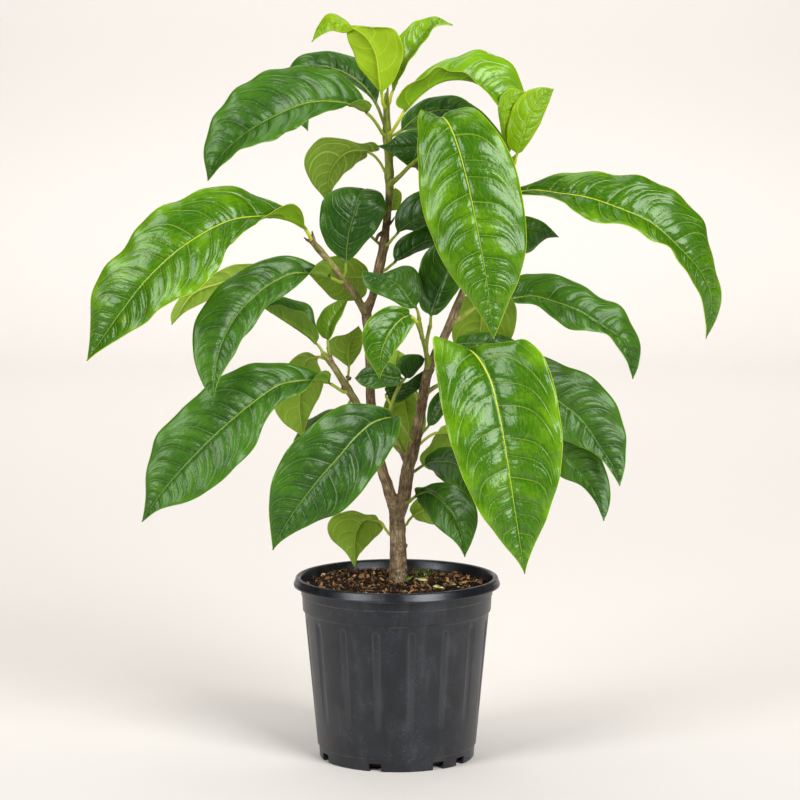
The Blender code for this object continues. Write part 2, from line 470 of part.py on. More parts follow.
def spaced(points, fractions):
    """Places on a run of points, at fractions of its length."""
    lengths = [0.0] + list(accumulate((q - p).length for p, q in zip(points, points[1:])))
    result = []
    for fraction in fractions:
        target = fraction * lengths[-1]
        index = max(i for i, length in enumerate(lengths[:-1]) if length <= target + 1e-12)
        span = lengths[index + 1] - lengths[index]
        result.append(points[index].lerp(points[index + 1], (target - lengths[index]) / span))
    return result


def smooth_path(points, fractions):
    return spaced(fine_path(points), fractions)


def clear_scene():
    for item in list(bpy.data.objects):
        bpy.data.objects.remove(item, do_unlink=True)


def make_collection(name):
    group = bpy.data.collections.new(name)
    bpy.context.scene.collection.children.link(group)
    return group


def make_material(name, colour, roughness):
    material = bpy.data.materials.new(name)
    material.use_nodes = True
    shader = material.node_tree.nodes["Principled BSDF"]
    shader.inputs["Base Color"].default_value = (*colour, 1.0)
    shader.inputs["Roughness"].default_value = roughness
    shader.inputs["Metallic"].default_value = 0.0
    return material


def add_object(name, mesh, group, material=None):
    item = bpy.data.objects.new(name, mesh)
    group.objects.link(item)
    if material:
        mesh.materials.append(material)
    return item


def as_mesh_object(item, group, material=None):
    """The evaluated shape of an object, as a plain mesh object that takes its name."""
    bpy.context.view_layer.update()
    mesh = bpy.data.meshes.new_from_object(
        item.evaluated_get(bpy.context.evaluated_depsgraph_get()))
    name = item.name
    place_in_world = item.matrix_world.copy()
    bpy.data.objects.remove(item, do_unlink=True)
    work = bmesh.new()
    work.from_mesh(mesh)
    bmesh.ops.remove_doubles(work, verts=work.verts, dist=1e-6)
    work.to_mesh(mesh)
    work.free()
    mesh.materials.clear()
    plain = add_object(name, mesh, group, material)
    plain.matrix_world = place_in_world
    return plain


def shade(item):
    item.data.shade_smooth()
    item.data.set_sharp_from_angle(angle=math.radians(35))


def as_cutter(item):
    item.hide_render = True
    item.display_type = "WIRE"
    return item


def turned(name, profile, steps, group, material):
    """A turned solid from a profile that starts and ends on the axis."""
    mesh = bpy.data.meshes.new(name)
    edges = [(i, i + 1) for i in range(len(profile) - 1)]
    mesh.from_pydata([(r * MM, 0, z * MM) for r, z in profile], edges, [])
    item = add_object(name, mesh, group, material)
    screw = item.modifiers.new("turn", "SCREW")
    screw.steps = steps
    screw.render_steps = steps
    screw.use_merge_vertices = True
    screw.merge_threshold = 0.0001
    return item


def pot_wall_radius(height):
    """Outer radius of the pot's tapered body."""
    share = (height - FOOT_HEIGHT) / (LOWER_STEP_HEIGHT - FOOT_HEIGHT)
    return BODY_FOOT_RADIUS + (BODY_TOP_RADIUS - BODY_FOOT_RADIUS) * share


def pot_inner_profile(inset, bottom, top):
    """Inside of the pot from its floor's corner up to a height, moved in by an inset."""
    points = [(BASE_RADIUS - WALL - 1.0, bottom), (BASE_RADIUS - WALL, bottom + 2.0),
              (BODY_FOOT_RADIUS - WALL, FOOT_HEIGHT + 2.0),
              (BODY_TOP_RADIUS - WALL, LOWER_STEP_HEIGHT),
              (BODY_TOP_RADIUS - WALL + 1.9, LOWER_STEP_HEIGHT + 2.5),
              (NECK_RADIUS - WALL - 0.9, UPPER_STEP_HEIGHT),
              (NECK_RADIUS - WALL, UPPER_STEP_HEIGHT + 2.0),
              (NECK_RADIUS - WALL + 0.4, LIP_BOTTOM)]
    return [(radius - inset, height) for radius, height in points if height < top]


def make_pot(group, cutters, material):
    inner = [(0, FLOOR)] + pot_inner_profile(0, FLOOR, POT_HEIGHT)
    rim = [(LIP_INNER_RADIUS, POT_HEIGHT - 2.2), (LIP_INNER_RADIUS + 1.0, POT_HEIGHT - 0.5),
           (LIP_INNER_RADIUS + 2.6, POT_HEIGHT), (LIP_RADIUS - 2.4, POT_HEIGHT - 0.3),
           (LIP_RADIUS - 1.0, POT_HEIGHT - 1.9), (LIP_RADIUS - 0.8, LIP_BOTTOM + 2.6),
           (LIP_RADIUS, LIP_BOTTOM + 1.9), (LIP_RADIUS, LIP_BOTTOM + 0.5),
           (LIP_RADIUS - 0.9, LIP_BOTTOM)]
    outer = [(NECK_RADIUS, LIP_BOTTOM), (NECK_RADIUS - 0.3, UPPER_STEP_HEIGHT + 0.4),
             (NECK_RADIUS - 1.1, UPPER_STEP_HEIGHT - 0.4), (BODY_TOP_RADIUS + 1.9, LOWER_STEP_HEIGHT + 0.8),
             (BODY_TOP_RADIUS, LOWER_STEP_HEIGHT - 0.8), (BODY_FOOT_RADIUS, FOOT_HEIGHT + 0.6),
             (BODY_FOOT_RADIUS - 1.4, FOOT_HEIGHT - 0.5), (BASE_RADIUS + 0.8, 1.2), (BASE_RADIUS, 0),
             (0, 0)]
    pot = turned("pot", inner + rim + outer, POT_STEPS, group, material)
    bpy.context.view_layer.update()
    pot = as_mesh_object(pot, group, material)
    cuts = [make_flute_cutter(index, cutters) for index in range(FLUTE_COUNT)]
    cuts += [make_drain_cutter(index, angle, cutters) for index, angle in enumerate(DRAIN_ANGLES)]
    for index, cutter in enumerate(cuts):
        cut = pot.modifiers.new("cut_%02d" % index, "BOOLEAN")
        cut.operation = "DIFFERENCE"
        cut.object = cutter
    pot = as_mesh_object(pot, group, material)
    shade(pot)
    return pot


def make_flute_cutter(index, cutters):
    """A long round-ended cutter that leans out, so its groove fades towards the pot's foot."""
    angle = math.radians(FLUTE_FIRST_ANGLE + index * 360 / FLUTE_COUNT - 90)
    mesh = bpy.data.meshes.new("flute_cutter_%02d" % index)
    work = bmesh.new()
    bmesh.ops.create_uvsphere(work, u_segments=12, v_segments=6, radius=FLUTE_CUTTER_RADIUS * MM)
    for corner in work.verts:
        if corner.co.z < -1e-6:
            corner.co.z -= FLUTE_LENGTH * MM
    work.to_mesh(mesh)
    work.free()
    cutter = add_object(mesh.name, mesh, cutters)
    low = FLUTE_TOP - FLUTE_LENGTH
    top_radius = pot_wall_radius(FLUTE_TOP) + FLUTE_CUTTER_RADIUS - FLUTE_DEPTH
    low_radius = pot_wall_radius(low) + FLUTE_CUTTER_RADIUS - FLUTE_DEPTH + FLUTE_RUN_OUT
    lean = math.atan2(top_radius - low_radius, FLUTE_LENGTH)
    spin = Matrix.Rotation(angle, 4, "Z")
    cutter.matrix_world = (spin @ Matrix.Translation((top_radius * MM, 0, FLUTE_TOP * MM))
                           @ Matrix.Rotation(lean, 4, "Y") @ Matrix.Rotation(math.pi, 4, "Z"))
    return as_cutter(cutter)


def make_drain_cutter(index, degrees, cutters):
    """A block that opens the pot's foot and the edge of its floor."""
    mesh = bpy.data.meshes.new("drain_cutter_%02d" % index)
    work = bmesh.new()
    bmesh.ops.create_cube(work, size=1.0)
    depth = BODY_FOOT_RADIUS + 6 - DRAIN_INNER_RADIUS
    bmesh.ops.scale(work, vec=(depth * MM, DRAIN_WIDTH * MM, 2 * DRAIN_HEIGHT * MM), verts=work.verts)
    work.to_mesh(mesh)
    work.free()
    cutter = add_object(mesh.name, mesh, cutters)
    spin = Matrix.Rotation(math.radians(degrees - 90), 4, "Z")
    cutter.matrix_world = spin @ Matrix.Translation(((DRAIN_INNER_RADIUS + depth / 2) * MM, 0, 0))
    return as_cutter(cutter)


def make_soil(group, cutters, material):
    """Soil up to a low mound round the stem, with a plain hole that the stem stands in."""
    wall = pot_inner_profile(GAP, FLOOR + GAP, SOIL_EDGE_HEIGHT)
    edge = NECK_RADIUS - WALL - GAP
    top = []
    for ring in range(SOIL_RINGS):
        share = ring / SOIL_RINGS
        top.append((edge * (1 - share), SOIL_EDGE_HEIGHT + SOIL_MOUND * math.sin(share * math.pi / 2)))
    top.append((0, SOIL_EDGE_HEIGHT + SOIL_MOUND))
    profile = top[::-1] + wall[::-1] + [(0, FLOOR + GAP)]
    soil = turned("soil", profile, SOIL_STEPS, group, material)
    soil = as_mesh_object(soil, group, material)
    for corner in soil.data.vertices:
        radius = corner.co.xy.length / MM
        if corner.co.z > (SOIL_EDGE_HEIGHT - 0.1) * MM and radius < edge - 1:
            corner.co.z += noise.noise(corner.co * 70) * SOIL_LUMP * MM
    work = bmesh.new()
    bmesh.ops.create_cone(work, cap_ends=True, segments=20, radius1=(ROOT_RADIUS + GAP + 0.2) * MM,
                          radius2=(ROOT_RADIUS + GAP + 0.2) * MM, depth=100 * MM)
    mesh = bpy.data.meshes.new("stem_hole_cutter")
    work.to_mesh(mesh)
    work.free()
    cutter = as_cutter(add_object(mesh.name, mesh, cutters))
    cutter.location = (ROOT_ACROSS * MM, 0, (ROOT_BOTTOM - GAP + 50) * MM)
    cut = soil.modifiers.new("stem_hole", "BOOLEAN")
    cut.operation = "DIFFERENCE"
    cut.object = cutter
    soil = as_mesh_object(soil, group, material)
    shade(soil)
    return soil


def stem_line(name):
    """Centre line of a stem as points in metres with their radii."""
    rows = STEMS[name]
    centres = [place(*row[:3]) for row in rows]
    radii = [row[3] / 2 * MM for row in rows]
    if name == "trunk":
        centres = [Vector((ROOT_ACROSS, 0, ROOT_BOTTOM)) * MM] + centres
        radii = [ROOT_RADIUS * MM] + radii
    joined = [Vector((*centre, radius)) for centre, radius in zip(centres, radii)]
    length = sum((q - p).length for p, q in zip(centres, centres[1:]))
    count = max(4, round(length / (17 * MM)))
    return smooth_path(joined, [step / count for step in range(count + 1)])


def make_stem(name, group):
    line = stem_line(name)
    curve = bpy.data.curves.new(name, "CURVE")
    curve.dimensions = "3D"
    curve.bevel_depth = 1.0
    curve.bevel_resolution = 3 if name == "trunk" else 2
    curve.use_fill_caps = True
    spline = curve.splines.new("POLY")
    spline.points.add(len(line) - 1)
    for point, row in zip(spline.points, line):
        point.co = (*row[:3], 1.0)
        point.radius = row[3]
    item = bpy.data.objects.new(name, curve)
    group.objects.link(item)
    return as_mesh_object(item, group)


def make_wood(group, material):
    """All stems grown together in one solid."""
    branches = make_collection("branches")
    for name in STEMS:
        if name != "trunk":
            make_stem(name, branches)
    wood = make_stem("trunk", group)
    wood.name = "wood"
    join = wood.modifiers.new("grow", "BOOLEAN")
    join.operation = "UNION"
    join.operand_type = "COLLECTION"
    join.collection = branches
    wood = as_mesh_object(wood, group, material)
    for item in list(branches.objects):
        bpy.data.objects.remove(item, do_unlink=True)
    bpy.data.collections.remove(branches)
    shade(wood)
    return wood


def leaf_foot(stem, towards, wanted):
    """Where a stalk meets its stem: centre, seat normal and the seat's distance from the centre."""
    line = stem_line(stem)
    nearest = None
    for first, second in zip(line, line[1:]):
        start = Vector(first[:3])
        step = Vector(second[:3]) - start
        share = (wanted - start).dot(step) / step.length_squared
        share = min(max(share, 0.0), 1.0)
        centre = start + step * share
        miss = (wanted - centre).length
        if nearest is None or miss < nearest[0]:
            nearest = (miss, centre, step.normalized(), first[3] + (second[3] - first[3]) * share)
    centre, axis, radius = nearest[1:]
    tip = Vector(line[-1][:3])
    out = (towards - centre).normalized()
    side = out - axis * out.dot(axis)
    if (tip - centre).length < 2 * MM or side.length < 0.45:
        return tip, axis, GAP * MM
    return centre, side.normalized(), radius + GAP * MM


def leaf_frame(leaf, blade_fractions):
    """Midrib and margins of a blade at fractions of its length."""
    seat_back = leaf["spine"][0][2]
    reach = leaf.get("reach", 1)
    spine = fine_path([place(across, up, seat_back + (back - seat_back) * reach)
                       for across, up, back in leaf["spine"]])
    stalk = leaf["stalk"]
    base = stalk * FINE_STEPS
    midrib = spaced(spine[base:], blade_fractions)
    margins = []
    for side, offset in zip(("left", "right"), leaf["back"]):
        rows = [leaf["spine"][stalk][:2]] + leaf[side] + [leaf["spine"][-1][:2]]
        flat = [Vector((row[0], row[1], 0)) for row in rows]
        seen = smooth_path(flat, blade_fractions)
        margin = []
        for point, middle, fraction in zip(seen, midrib, blade_fractions):
            bulge = math.sin(math.pi * fraction) ** 0.7 if 0 < fraction < 1 else 0
            margin.append(place(point.x, point.y, middle.y / MM + offset * bulge))
        margins.append(margin)
    return spine[:base + 1], midrib, margins[0], margins[1]


def blade_rows(midrib, left, right):
    """Upper side of a blade: five columns from the left margin to the right one."""
    rows = []
    last = len(midrib) - 1
    for index, middle in enumerate(midrib):
        ahead = midrib[min(index + 1, last)]
        behind = midrib[max(index - 1, 0)]
        along = (ahead - behind).normalized()
        inner = min(max(index, 1), last - 1)
        across = right[inner] - left[inner]
        up = across.cross(along).normalized()
        side = along.cross(up).normalized()
        smallest = (TIP_HALF_WIDTH if index else STALK_RADIUS) * MM
        if index == last:
            # The tip keeps the fold of the row before it.
            reach_left = (reach_left - along * reach_left.dot(along)).normalized() * smallest
            reach_right = (reach_right - along * reach_right.dot(along)).normalized() * smallest
        else:
            reach_left = left[index] - middle
            reach_right = right[index] - middle
        if index == 0 or index < last and reach_left.dot(side) > -smallest:
            reach_left = -side * smallest
        if index == 0 or index < last and reach_right.dot(side) < smallest:
            reach_right = side * smallest
        rise = up * CUPPING * 0.5
        rows.append(([middle + reach_left, middle + reach_left * 0.5 + rise * reach_left.length,
                      middle, middle + reach_right * 0.5 + rise * reach_right.length,
                      middle + reach_right], up, side))
    return rows


def add_ring(work, points):
    return [work.verts.new(point) for point in points]


def bridge_rings(work, first, second, count):
    """Triangles between two rings, split alike on the upper and the lower side."""
    for column in range(2 * count):
        following = (column + 1) % (2 * count)
        a, b, c, d = first[column], first[following], second[following], second[column]
        if column < count:
            triangles = ((a, b, c), (a, c, d))
        else:
            triangles = ((a, b, d), (b, c, d))
        for triangle in triangles:
            work.faces.new(triangle)


def make_leaf(name, leaf, group, material):
    """Stalk and blade as one loft of rings, from a seat on the stem to the tip."""
    length = sum((Vector(q) - Vector(p)).length for p, q in zip(leaf["spine"], leaf["spine"][1:]))
    if length > 110:
        fractions = (0.0, 0.05, 0.13, 0.25, 0.38, 0.52, 0.66, 0.8, 0.92, 1.0)
    else:
        fractions = (0.0, 0.1, 0.27, 0.5, 0.72, 0.89, 1.0)
    stalk, midrib, left, right = leaf_frame(leaf, fractions)
    rows = blade_rows(midrib, left, right)
    columns = 5
    rings = []
    side = rows[0][2]
    beyond = min(range(len(stalk)), key=lambda i: abs((stalk[i] - stalk[0]).length - 5 * MM))
    beyond = max(beyond, 1)
    centre, normal, distance = leaf_foot(leaf["stem"], stalk[beyond], stalk[0])
    towards = (stalk[beyond] - centre).normalized()
    seat = centre + towards * distance / max(towards.dot(normal), 0.4)
    onward = [point for point in stalk[beyond:] if (point - centre).dot(normal) > distance + 2 * MM]
    stalk_points = [seat] + (onward or [midrib[0]])
    stalk_count = 3 if len(stalk_points) > 8 else 2
    spots = smooth_path(stalk_points, [step / stalk_count for step in range(stalk_count + 1)])[:-1]
    angles = [math.radians(162 - 36 * step) for step in range(2 * columns)]
    for index in reversed(range(len(spots))):
        spot = spots[index]
        ahead = spots[index + 1] if index + 1 < len(spots) else midrib[0]
        along = (ahead - spot).normalized()
        if index == 0:
            along = (along + normal * 0.5).normalized()
        side = (side - along * side.dot(along)).normalized()
        up = side.cross(along).normalized()
        radius = (STALK_FOOT_RADIUS if index == 0 else STALK_RADIUS) * MM
        ring = []
        for angle in angles:
            offset = side * math.cos(angle) * radius + up * math.sin(angle) * radius
            if index == 0:
                offset -= along * offset.dot(normal) / along.dot(normal)
            ring.append(spot + offset)
        rings.insert(0, ring)
    for index, (row, up, side) in enumerate(rows):
        fraction = fractions[index]
        edge = (EDGE_THICKNESS + (TIP_THICKNESS - EDGE_THICKNESS) * fraction) * MM
        rib = edge + (RIB_THICKNESS - EDGE_THICKNESS) * (1 - fraction) * MM
        half = (rib + edge) / 2
        slopes = [row[1] - row[0], row[2] - row[0], row[3] - row[1], row[4] - row[2], row[4] - row[3]]
        along = up.cross(side)
        depths = (edge, half * 0.7, rib, half * 0.7, edge)
        under = []
        for point, slope, depth in zip(row, slopes, depths):
            under.append(point - slope.cross(along).normalized() * depth)
        rings.append(row + under[::-1])
    work = bmesh.new()
    made = [add_ring(work, ring) for ring in rings]
    for first, second in zip(made, made[1:]):
        bridge_rings(work, first, second, columns)
    work.faces.new(made[0][::-1])
    work.faces.new(made[-1])
    bmesh.ops.recalc_face_normals(work, faces=work.faces)
    if work.calc_volume(signed=True) < 0:
        bmesh.ops.reverse_faces(work, faces=work.faces)
    bmesh.ops.triangulate(work, faces=[face for face in work.faces if len(face.verts) > 3])
    mesh = bpy.data.meshes.new(name)
    work.to_mesh(mesh)
    work.free()
    item = add_object(name, mesh, group, material)
    shade(item)
    return item


def main():
    clear_scene()
    tree = make_collection("potted_rose_apple_tree")
    cutters = make_collection("cutters")
    make_pot(tree, cutters, make_material("black_plastic", (0.022, 0.023, 0.026), 0.45))
    make_soil(tree, cutters, make_material("potting_soil", (0.05, 0.03, 0.018), 0.95))
    make_wood(tree, make_material("bark", (0.23, 0.17, 0.11), 0.8))
    tones = {name: make_material(name + "_leaf", colour, 0.4) for name, colour in TONES.items()}
    for name, leaf in LEAVES.items():
        make_leaf(name, leaf, tree, tones[leaf["tone"]])


main()
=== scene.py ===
# Potted rose apple tree: pot, soil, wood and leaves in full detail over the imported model.
import json
import math
import random
from bisect import bisect_right
from itertools import accumulate

import bmesh
import bpy
from mathutils import Matrix, Vector, kdtree, noise

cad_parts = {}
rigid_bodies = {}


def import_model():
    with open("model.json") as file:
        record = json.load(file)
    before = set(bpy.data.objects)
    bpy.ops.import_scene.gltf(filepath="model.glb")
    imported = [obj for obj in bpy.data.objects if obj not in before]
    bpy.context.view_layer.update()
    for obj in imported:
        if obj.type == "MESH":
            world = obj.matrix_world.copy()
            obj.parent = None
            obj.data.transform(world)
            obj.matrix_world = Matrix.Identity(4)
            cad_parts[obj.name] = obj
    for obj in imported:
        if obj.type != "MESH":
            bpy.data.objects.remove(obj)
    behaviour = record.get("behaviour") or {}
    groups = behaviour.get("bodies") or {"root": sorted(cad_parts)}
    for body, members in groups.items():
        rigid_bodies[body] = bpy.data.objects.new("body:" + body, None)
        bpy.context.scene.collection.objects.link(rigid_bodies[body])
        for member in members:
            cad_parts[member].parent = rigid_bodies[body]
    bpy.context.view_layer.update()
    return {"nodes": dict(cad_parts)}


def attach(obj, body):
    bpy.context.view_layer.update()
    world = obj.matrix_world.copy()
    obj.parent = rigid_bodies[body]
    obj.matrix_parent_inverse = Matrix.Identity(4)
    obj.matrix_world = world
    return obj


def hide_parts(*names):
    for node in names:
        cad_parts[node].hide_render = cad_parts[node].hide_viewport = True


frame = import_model()
mm = 0.001
fullTurn = 6.283        # in radians, as close as a pattern needs
fineSteps = 12          # points that a smooth path adds for each knot
print("frame loaded with", len(frame["nodes"]), "nodes")

# Stems and leaves are read off the front view as (across, up, back) in mm: across from the
# trunk, up from the base and back from the trunk's plane.
view = {"distance": 3200, "tilt": 7, "across": 3, "up": 355, "height": 362,
        "lens": 144, "sensor": 36, "target": 3.2}


def place(across, up, back):
    # real place, in metres, of a point read off the front view
    sine, cosine = math.sin(math.radians(view["tilt"])), math.cos(math.radians(view["tilt"]))
    rise = up - view["up"]
    height = (rise * (1 + back * cosine / view["distance"]) - back * sine) / (
        cosine + rise * sine / view["distance"])
    distance = view["distance"] + back * cosine - height * sine
    x = view["across"] + (across - view["across"]) * distance / view["distance"]
    return Vector((x, back, view["height"] + height)) * mm


def finePath(points, steps=fineSteps):
    # a smooth curve through the points; knots spaced by the root of each chord don't loop
    ends = [points[0] * 2 - points[1]] + points + [points[-1] * 2 - points[-2]]
    fine = []
    for a, b, c, d in zip(ends, ends[1:], ends[2:], ends[3:]):
        t1 = max((b - a).length, 1e-9) ** 0.5
        t2 = t1 + max((c - b).length, 1e-9) ** 0.5
        t3 = t2 + max((d - c).length, 1e-9) ** 0.5
        for step in range(steps):
            t = t1 + (t2 - t1) * step / steps
            ab = a + (b - a) * (t / t1)
            bc = b + (c - b) * ((t - t1) / (t2 - t1))
            cd = c + (d - c) * ((t - t2) / (t3 - t2))
            abc = ab + (bc - ab) * (t / t2)
            bcd = bc + (cd - bc) * ((t - t1) / (t3 - t1))
            fine.append(abc + (bcd - abc) * ((t - t1) / (t2 - t1)))
    fine.append(points[-1])
    return fine


def pathLength(points):
    return sum((q - p).length for p, q in zip(points, points[1:]))


def spaced(points, fractions):
    # places on a run of points, at fractions of its length
    lengths = [0.0] + list(accumulate((q - p).length for p, q in zip(points, points[1:])))
    found = []
    for fraction in fractions:
        target = fraction * lengths[-1]
        index = min(bisect_right(lengths, target + 1e-12) - 1, len(points) - 2)
        span = max(lengths[index + 1] - lengths[index], 1e-12)
        found.append(points[index].lerp(points[index + 1], (target - lengths[index]) / span))
    return found


def searchTree(points):
    # finds the nearest of the points
    tree = kdtree.KDTree(len(points))
    for index, point in enumerate(points):
        tree.insert(point, index)
    tree.balance()
    return tree


def smoothPath(points, fractions):
    return spaced(finePath(points), fractions)


def smooth(low, high, value):
    share = min(max((value - low) / (high - low), 0.0), 1.0)
    return share * share * (3 - 2 * share)


class Wire:
    # a node's output that can stand in sums
    def __init__(self, graph, socket):
        self.graph, self.socket = graph, socket

    def sum(self, operation, first, second=0.0):
        return self.graph.node("ShaderNodeMath", {"operation": operation}, {0: first, 1: second})

    def __add__(self, other): return self.sum("ADD", self, other)
    def __radd__(self, other): return self.sum("ADD", other, self)
    def __sub__(self, other): return self.sum("SUBTRACT", self, other)
    def __rsub__(self, other): return self.sum("SUBTRACT", other, self)
    def __mul__(self, other): return self.sum("MULTIPLY", self, other)
    def __rmul__(self, other): return self.sum("MULTIPLY", other, self)
    def __truediv__(self, other): return self.sum("DIVIDE", self, other)
    def __rtruediv__(self, other): return self.sum("DIVIDE", other, self)
    def __pow__(self, other): return self.sum("POWER", self, other)
    def __lt__(self, other): return self.sum("LESS_THAN", self, other)
    def __gt__(self, other): return self.sum("GREATER_THAN", self, other)
    def __abs__(self): return self.sum("ABSOLUTE", self)
    def part(self): return self.sum("FRACT", self)
    def low(self, other): return self.sum("MINIMUM", self, other)
    def high(self, other): return self.sum("MAXIMUM", self, other)
    def sine(self): return self.sum("SINE", self)


class Graph:
    # a node tree and the one method that adds to it
    def __init__(self, tree):
        self.tree = tree
        tree.nodes.clear()

    def node(self, kind, settings=None, values=None, output=0):
        item = self.tree.nodes.new(kind)
        for key, value in (settings or {}).items():
            if key == "stops":
                ramp = item.color_ramp.elements
                for index, (position, colour) in enumerate(value):
                    stop = ramp[index] if index < 2 else ramp.new(position)
                    stop.position, stop.color = position, (*colour, 1)
            else:
                setattr(item, key, value)
        for key, value in (values or {}).items():
            if isinstance(value, Wire):
                self.tree.links.new(value.socket, item.inputs[key])
            else:
                item.inputs[key].default_value = value
        return Wire(self, item.outputs[output]) if len(item.outputs) else None

    def also(self, wire, output):
        return Wire(self, wire.socket.node.outputs[output])

    def split(self, vector):
        first = self.node("ShaderNodeSeparateXYZ", {}, {0: vector})
        return first, self.also(first, 1), self.also(first, 2)

    def join(self, x, y, z):
        return self.node("ShaderNodeCombineXYZ", {}, {0: x, 1: y, 2: z})

    def stored(self, name, output=1):
        # an attribute of the mesh: output 1 is its vector, 2 its number
        return self.node("ShaderNodeAttribute", {"attribute_name": name}, {}, output)

    def mark(self, geometry, name, value, domain):
        # stores a number on the geometry
        return self.node("GeometryNodeStoreNamedAttribute",
                         {"data_type": "FLOAT", "domain": domain},
                         {"Geometry": geometry, "Name": name, "Value": value})

    def spot(self):
        # Object coordinates
        return self.node("ShaderNodeTexCoord", {}, {}, 3)

    def stretched(self, vector, scale):
        return self.node("ShaderNodeMapping", {}, {"Vector": vector, "Scale": scale})

    def rough(self, vector, scale, detail=3, roughness=0.5):
        return self.node("ShaderNodeTexNoise", {}, {
            "Vector": vector, "Scale": scale, "Detail": detail, "Roughness": roughness})

    def cells(self, vector, scale, feature="F1", output=0):
        return self.node("ShaderNodeTexVoronoi", {"feature": feature},
                         {"Vector": vector, "Scale": scale}, output)

    def ease(self, value, low, high):
        # 0 below low, 1 above high, smooth between
        return self.node("ShaderNodeMapRange", {"interpolation_type": "SMOOTHSTEP"},
                         {"Value": value, 1: low, 2: high})

    def fade(self, value, low, high):
        # 1 below low, 0 above high
        return 1 - self.ease(value, low, high)

    def mix(self, share, first, second, how="MIX"):
        first, second = [(*c, 1) if isinstance(c, tuple) else c for c in (first, second)]
        return self.node("ShaderNodeMix", {"data_type": "RGBA", "blend_type": how}, {
            0: share, 6: first, 7: second}, 2)

    def ramp(self, share, stops):
        return self.node("ShaderNodeValToRGB", {"stops": stops}, {0: share})

    def bump(self, height, strength=1.0, distance=mm):
        return self.node("ShaderNodeBump", {}, {
            "Strength": strength, "Distance": distance, "Height": height})

    def shader(self, **sockets):
        return self.node("ShaderNodeBsdfPrincipled", {}, {
            key.replace("_", " "): (*value, 1) if isinstance(value, tuple) else value
            for key, value in sockets.items()})

    def surface(self, **sockets):
        self.node("ShaderNodeOutputMaterial", {}, {0: self.shader(**sockets)})


def newMaterial(name):
    material = bpy.data.materials.new(name)
    material.use_nodes = True
    return material, Graph(material.node_tree)


def newTree(name, sizes):
    # a Geometry Nodes tree with named number inputs
    tree = bpy.data.node_groups.new(name, "GeometryNodeTree")
    tree.interface.new_socket("Geometry", in_out="INPUT", socket_type="NodeSocketGeometry")
    tree.interface.new_socket("Geometry", in_out="OUTPUT", socket_type="NodeSocketGeometry")
    for key in sizes:
        tree.interface.new_socket(key, in_out="INPUT", socket_type="NodeSocketFloat")
    graph = Graph(tree)
    start = graph.node("NodeGroupInput")
    given = {key: graph.also(start, index + 1) for index, key in enumerate(sizes)}
    return tree, graph, start, given


def endTree(graph, geometry, material):
    # makes instances real, gives them their material and ends the tree
    whole = graph.node("GeometryNodeRealizeInstances", {}, {0: geometry})
    done = graph.node("GeometryNodeSetMaterial", {}, {0: whole, "Material": material})
    graph.node("NodeGroupOutput", {}, {0: done})


def growTree(item, tree, sizes):
    modifier = item.modifiers.new(tree.name, "NODES")
    modifier.node_group = tree
    for socket in tree.interface.items_tree:
        if socket.in_out == "INPUT" and socket.name in sizes:
            modifier[socket.identifier] = float(sizes[socket.name])
    return item


def newObject(name, mesh):
    item = bpy.data.objects.new(name, mesh)
    bpy.context.scene.collection.objects.link(item)
    return item


def newMesh(name, points, faces):
    mesh = bpy.data.meshes.new(name)
    mesh.from_pydata(points, [], faces)
    mesh.shade_smooth()
    return mesh


def storeOn(mesh, name, values, kind="FLOAT_VECTOR"):
    layer = mesh.attributes.new(name, kind, "POINT")
    if kind == "FLOAT_VECTOR":
        layer.data.foreach_set("vector", [number for value in values for number in value])
    else:
        layer.data.foreach_set("value", list(values))


def workMesh(work, name):
    # the mesh of a finished bmesh
    mesh = bpy.data.meshes.new(name)
    work.to_mesh(mesh)
    work.free()
    return mesh


def plainMesh(item):
    # the evaluated shape of an object, which is then dropped
    bpy.context.view_layer.update()
    name = item.data.name
    shape = item.evaluated_get(bpy.context.evaluated_depsgraph_get())
    mesh = bpy.data.meshes.new_from_object(shape)
    bpy.data.objects.remove(item)
    mesh.name = name
    return mesh


def dress(name, mesh, slotName, nodes=(), materials=()):
    # a finished piece: it rides on the tree's one body and stands for its CAD nodes
    piece = newObject(name, mesh)
    if materials:
        mesh.materials.clear()
        for material in materials:
            mesh.materials.append(material)
    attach(piece, "root")
    if nodes:
        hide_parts(*nodes)
    return piece


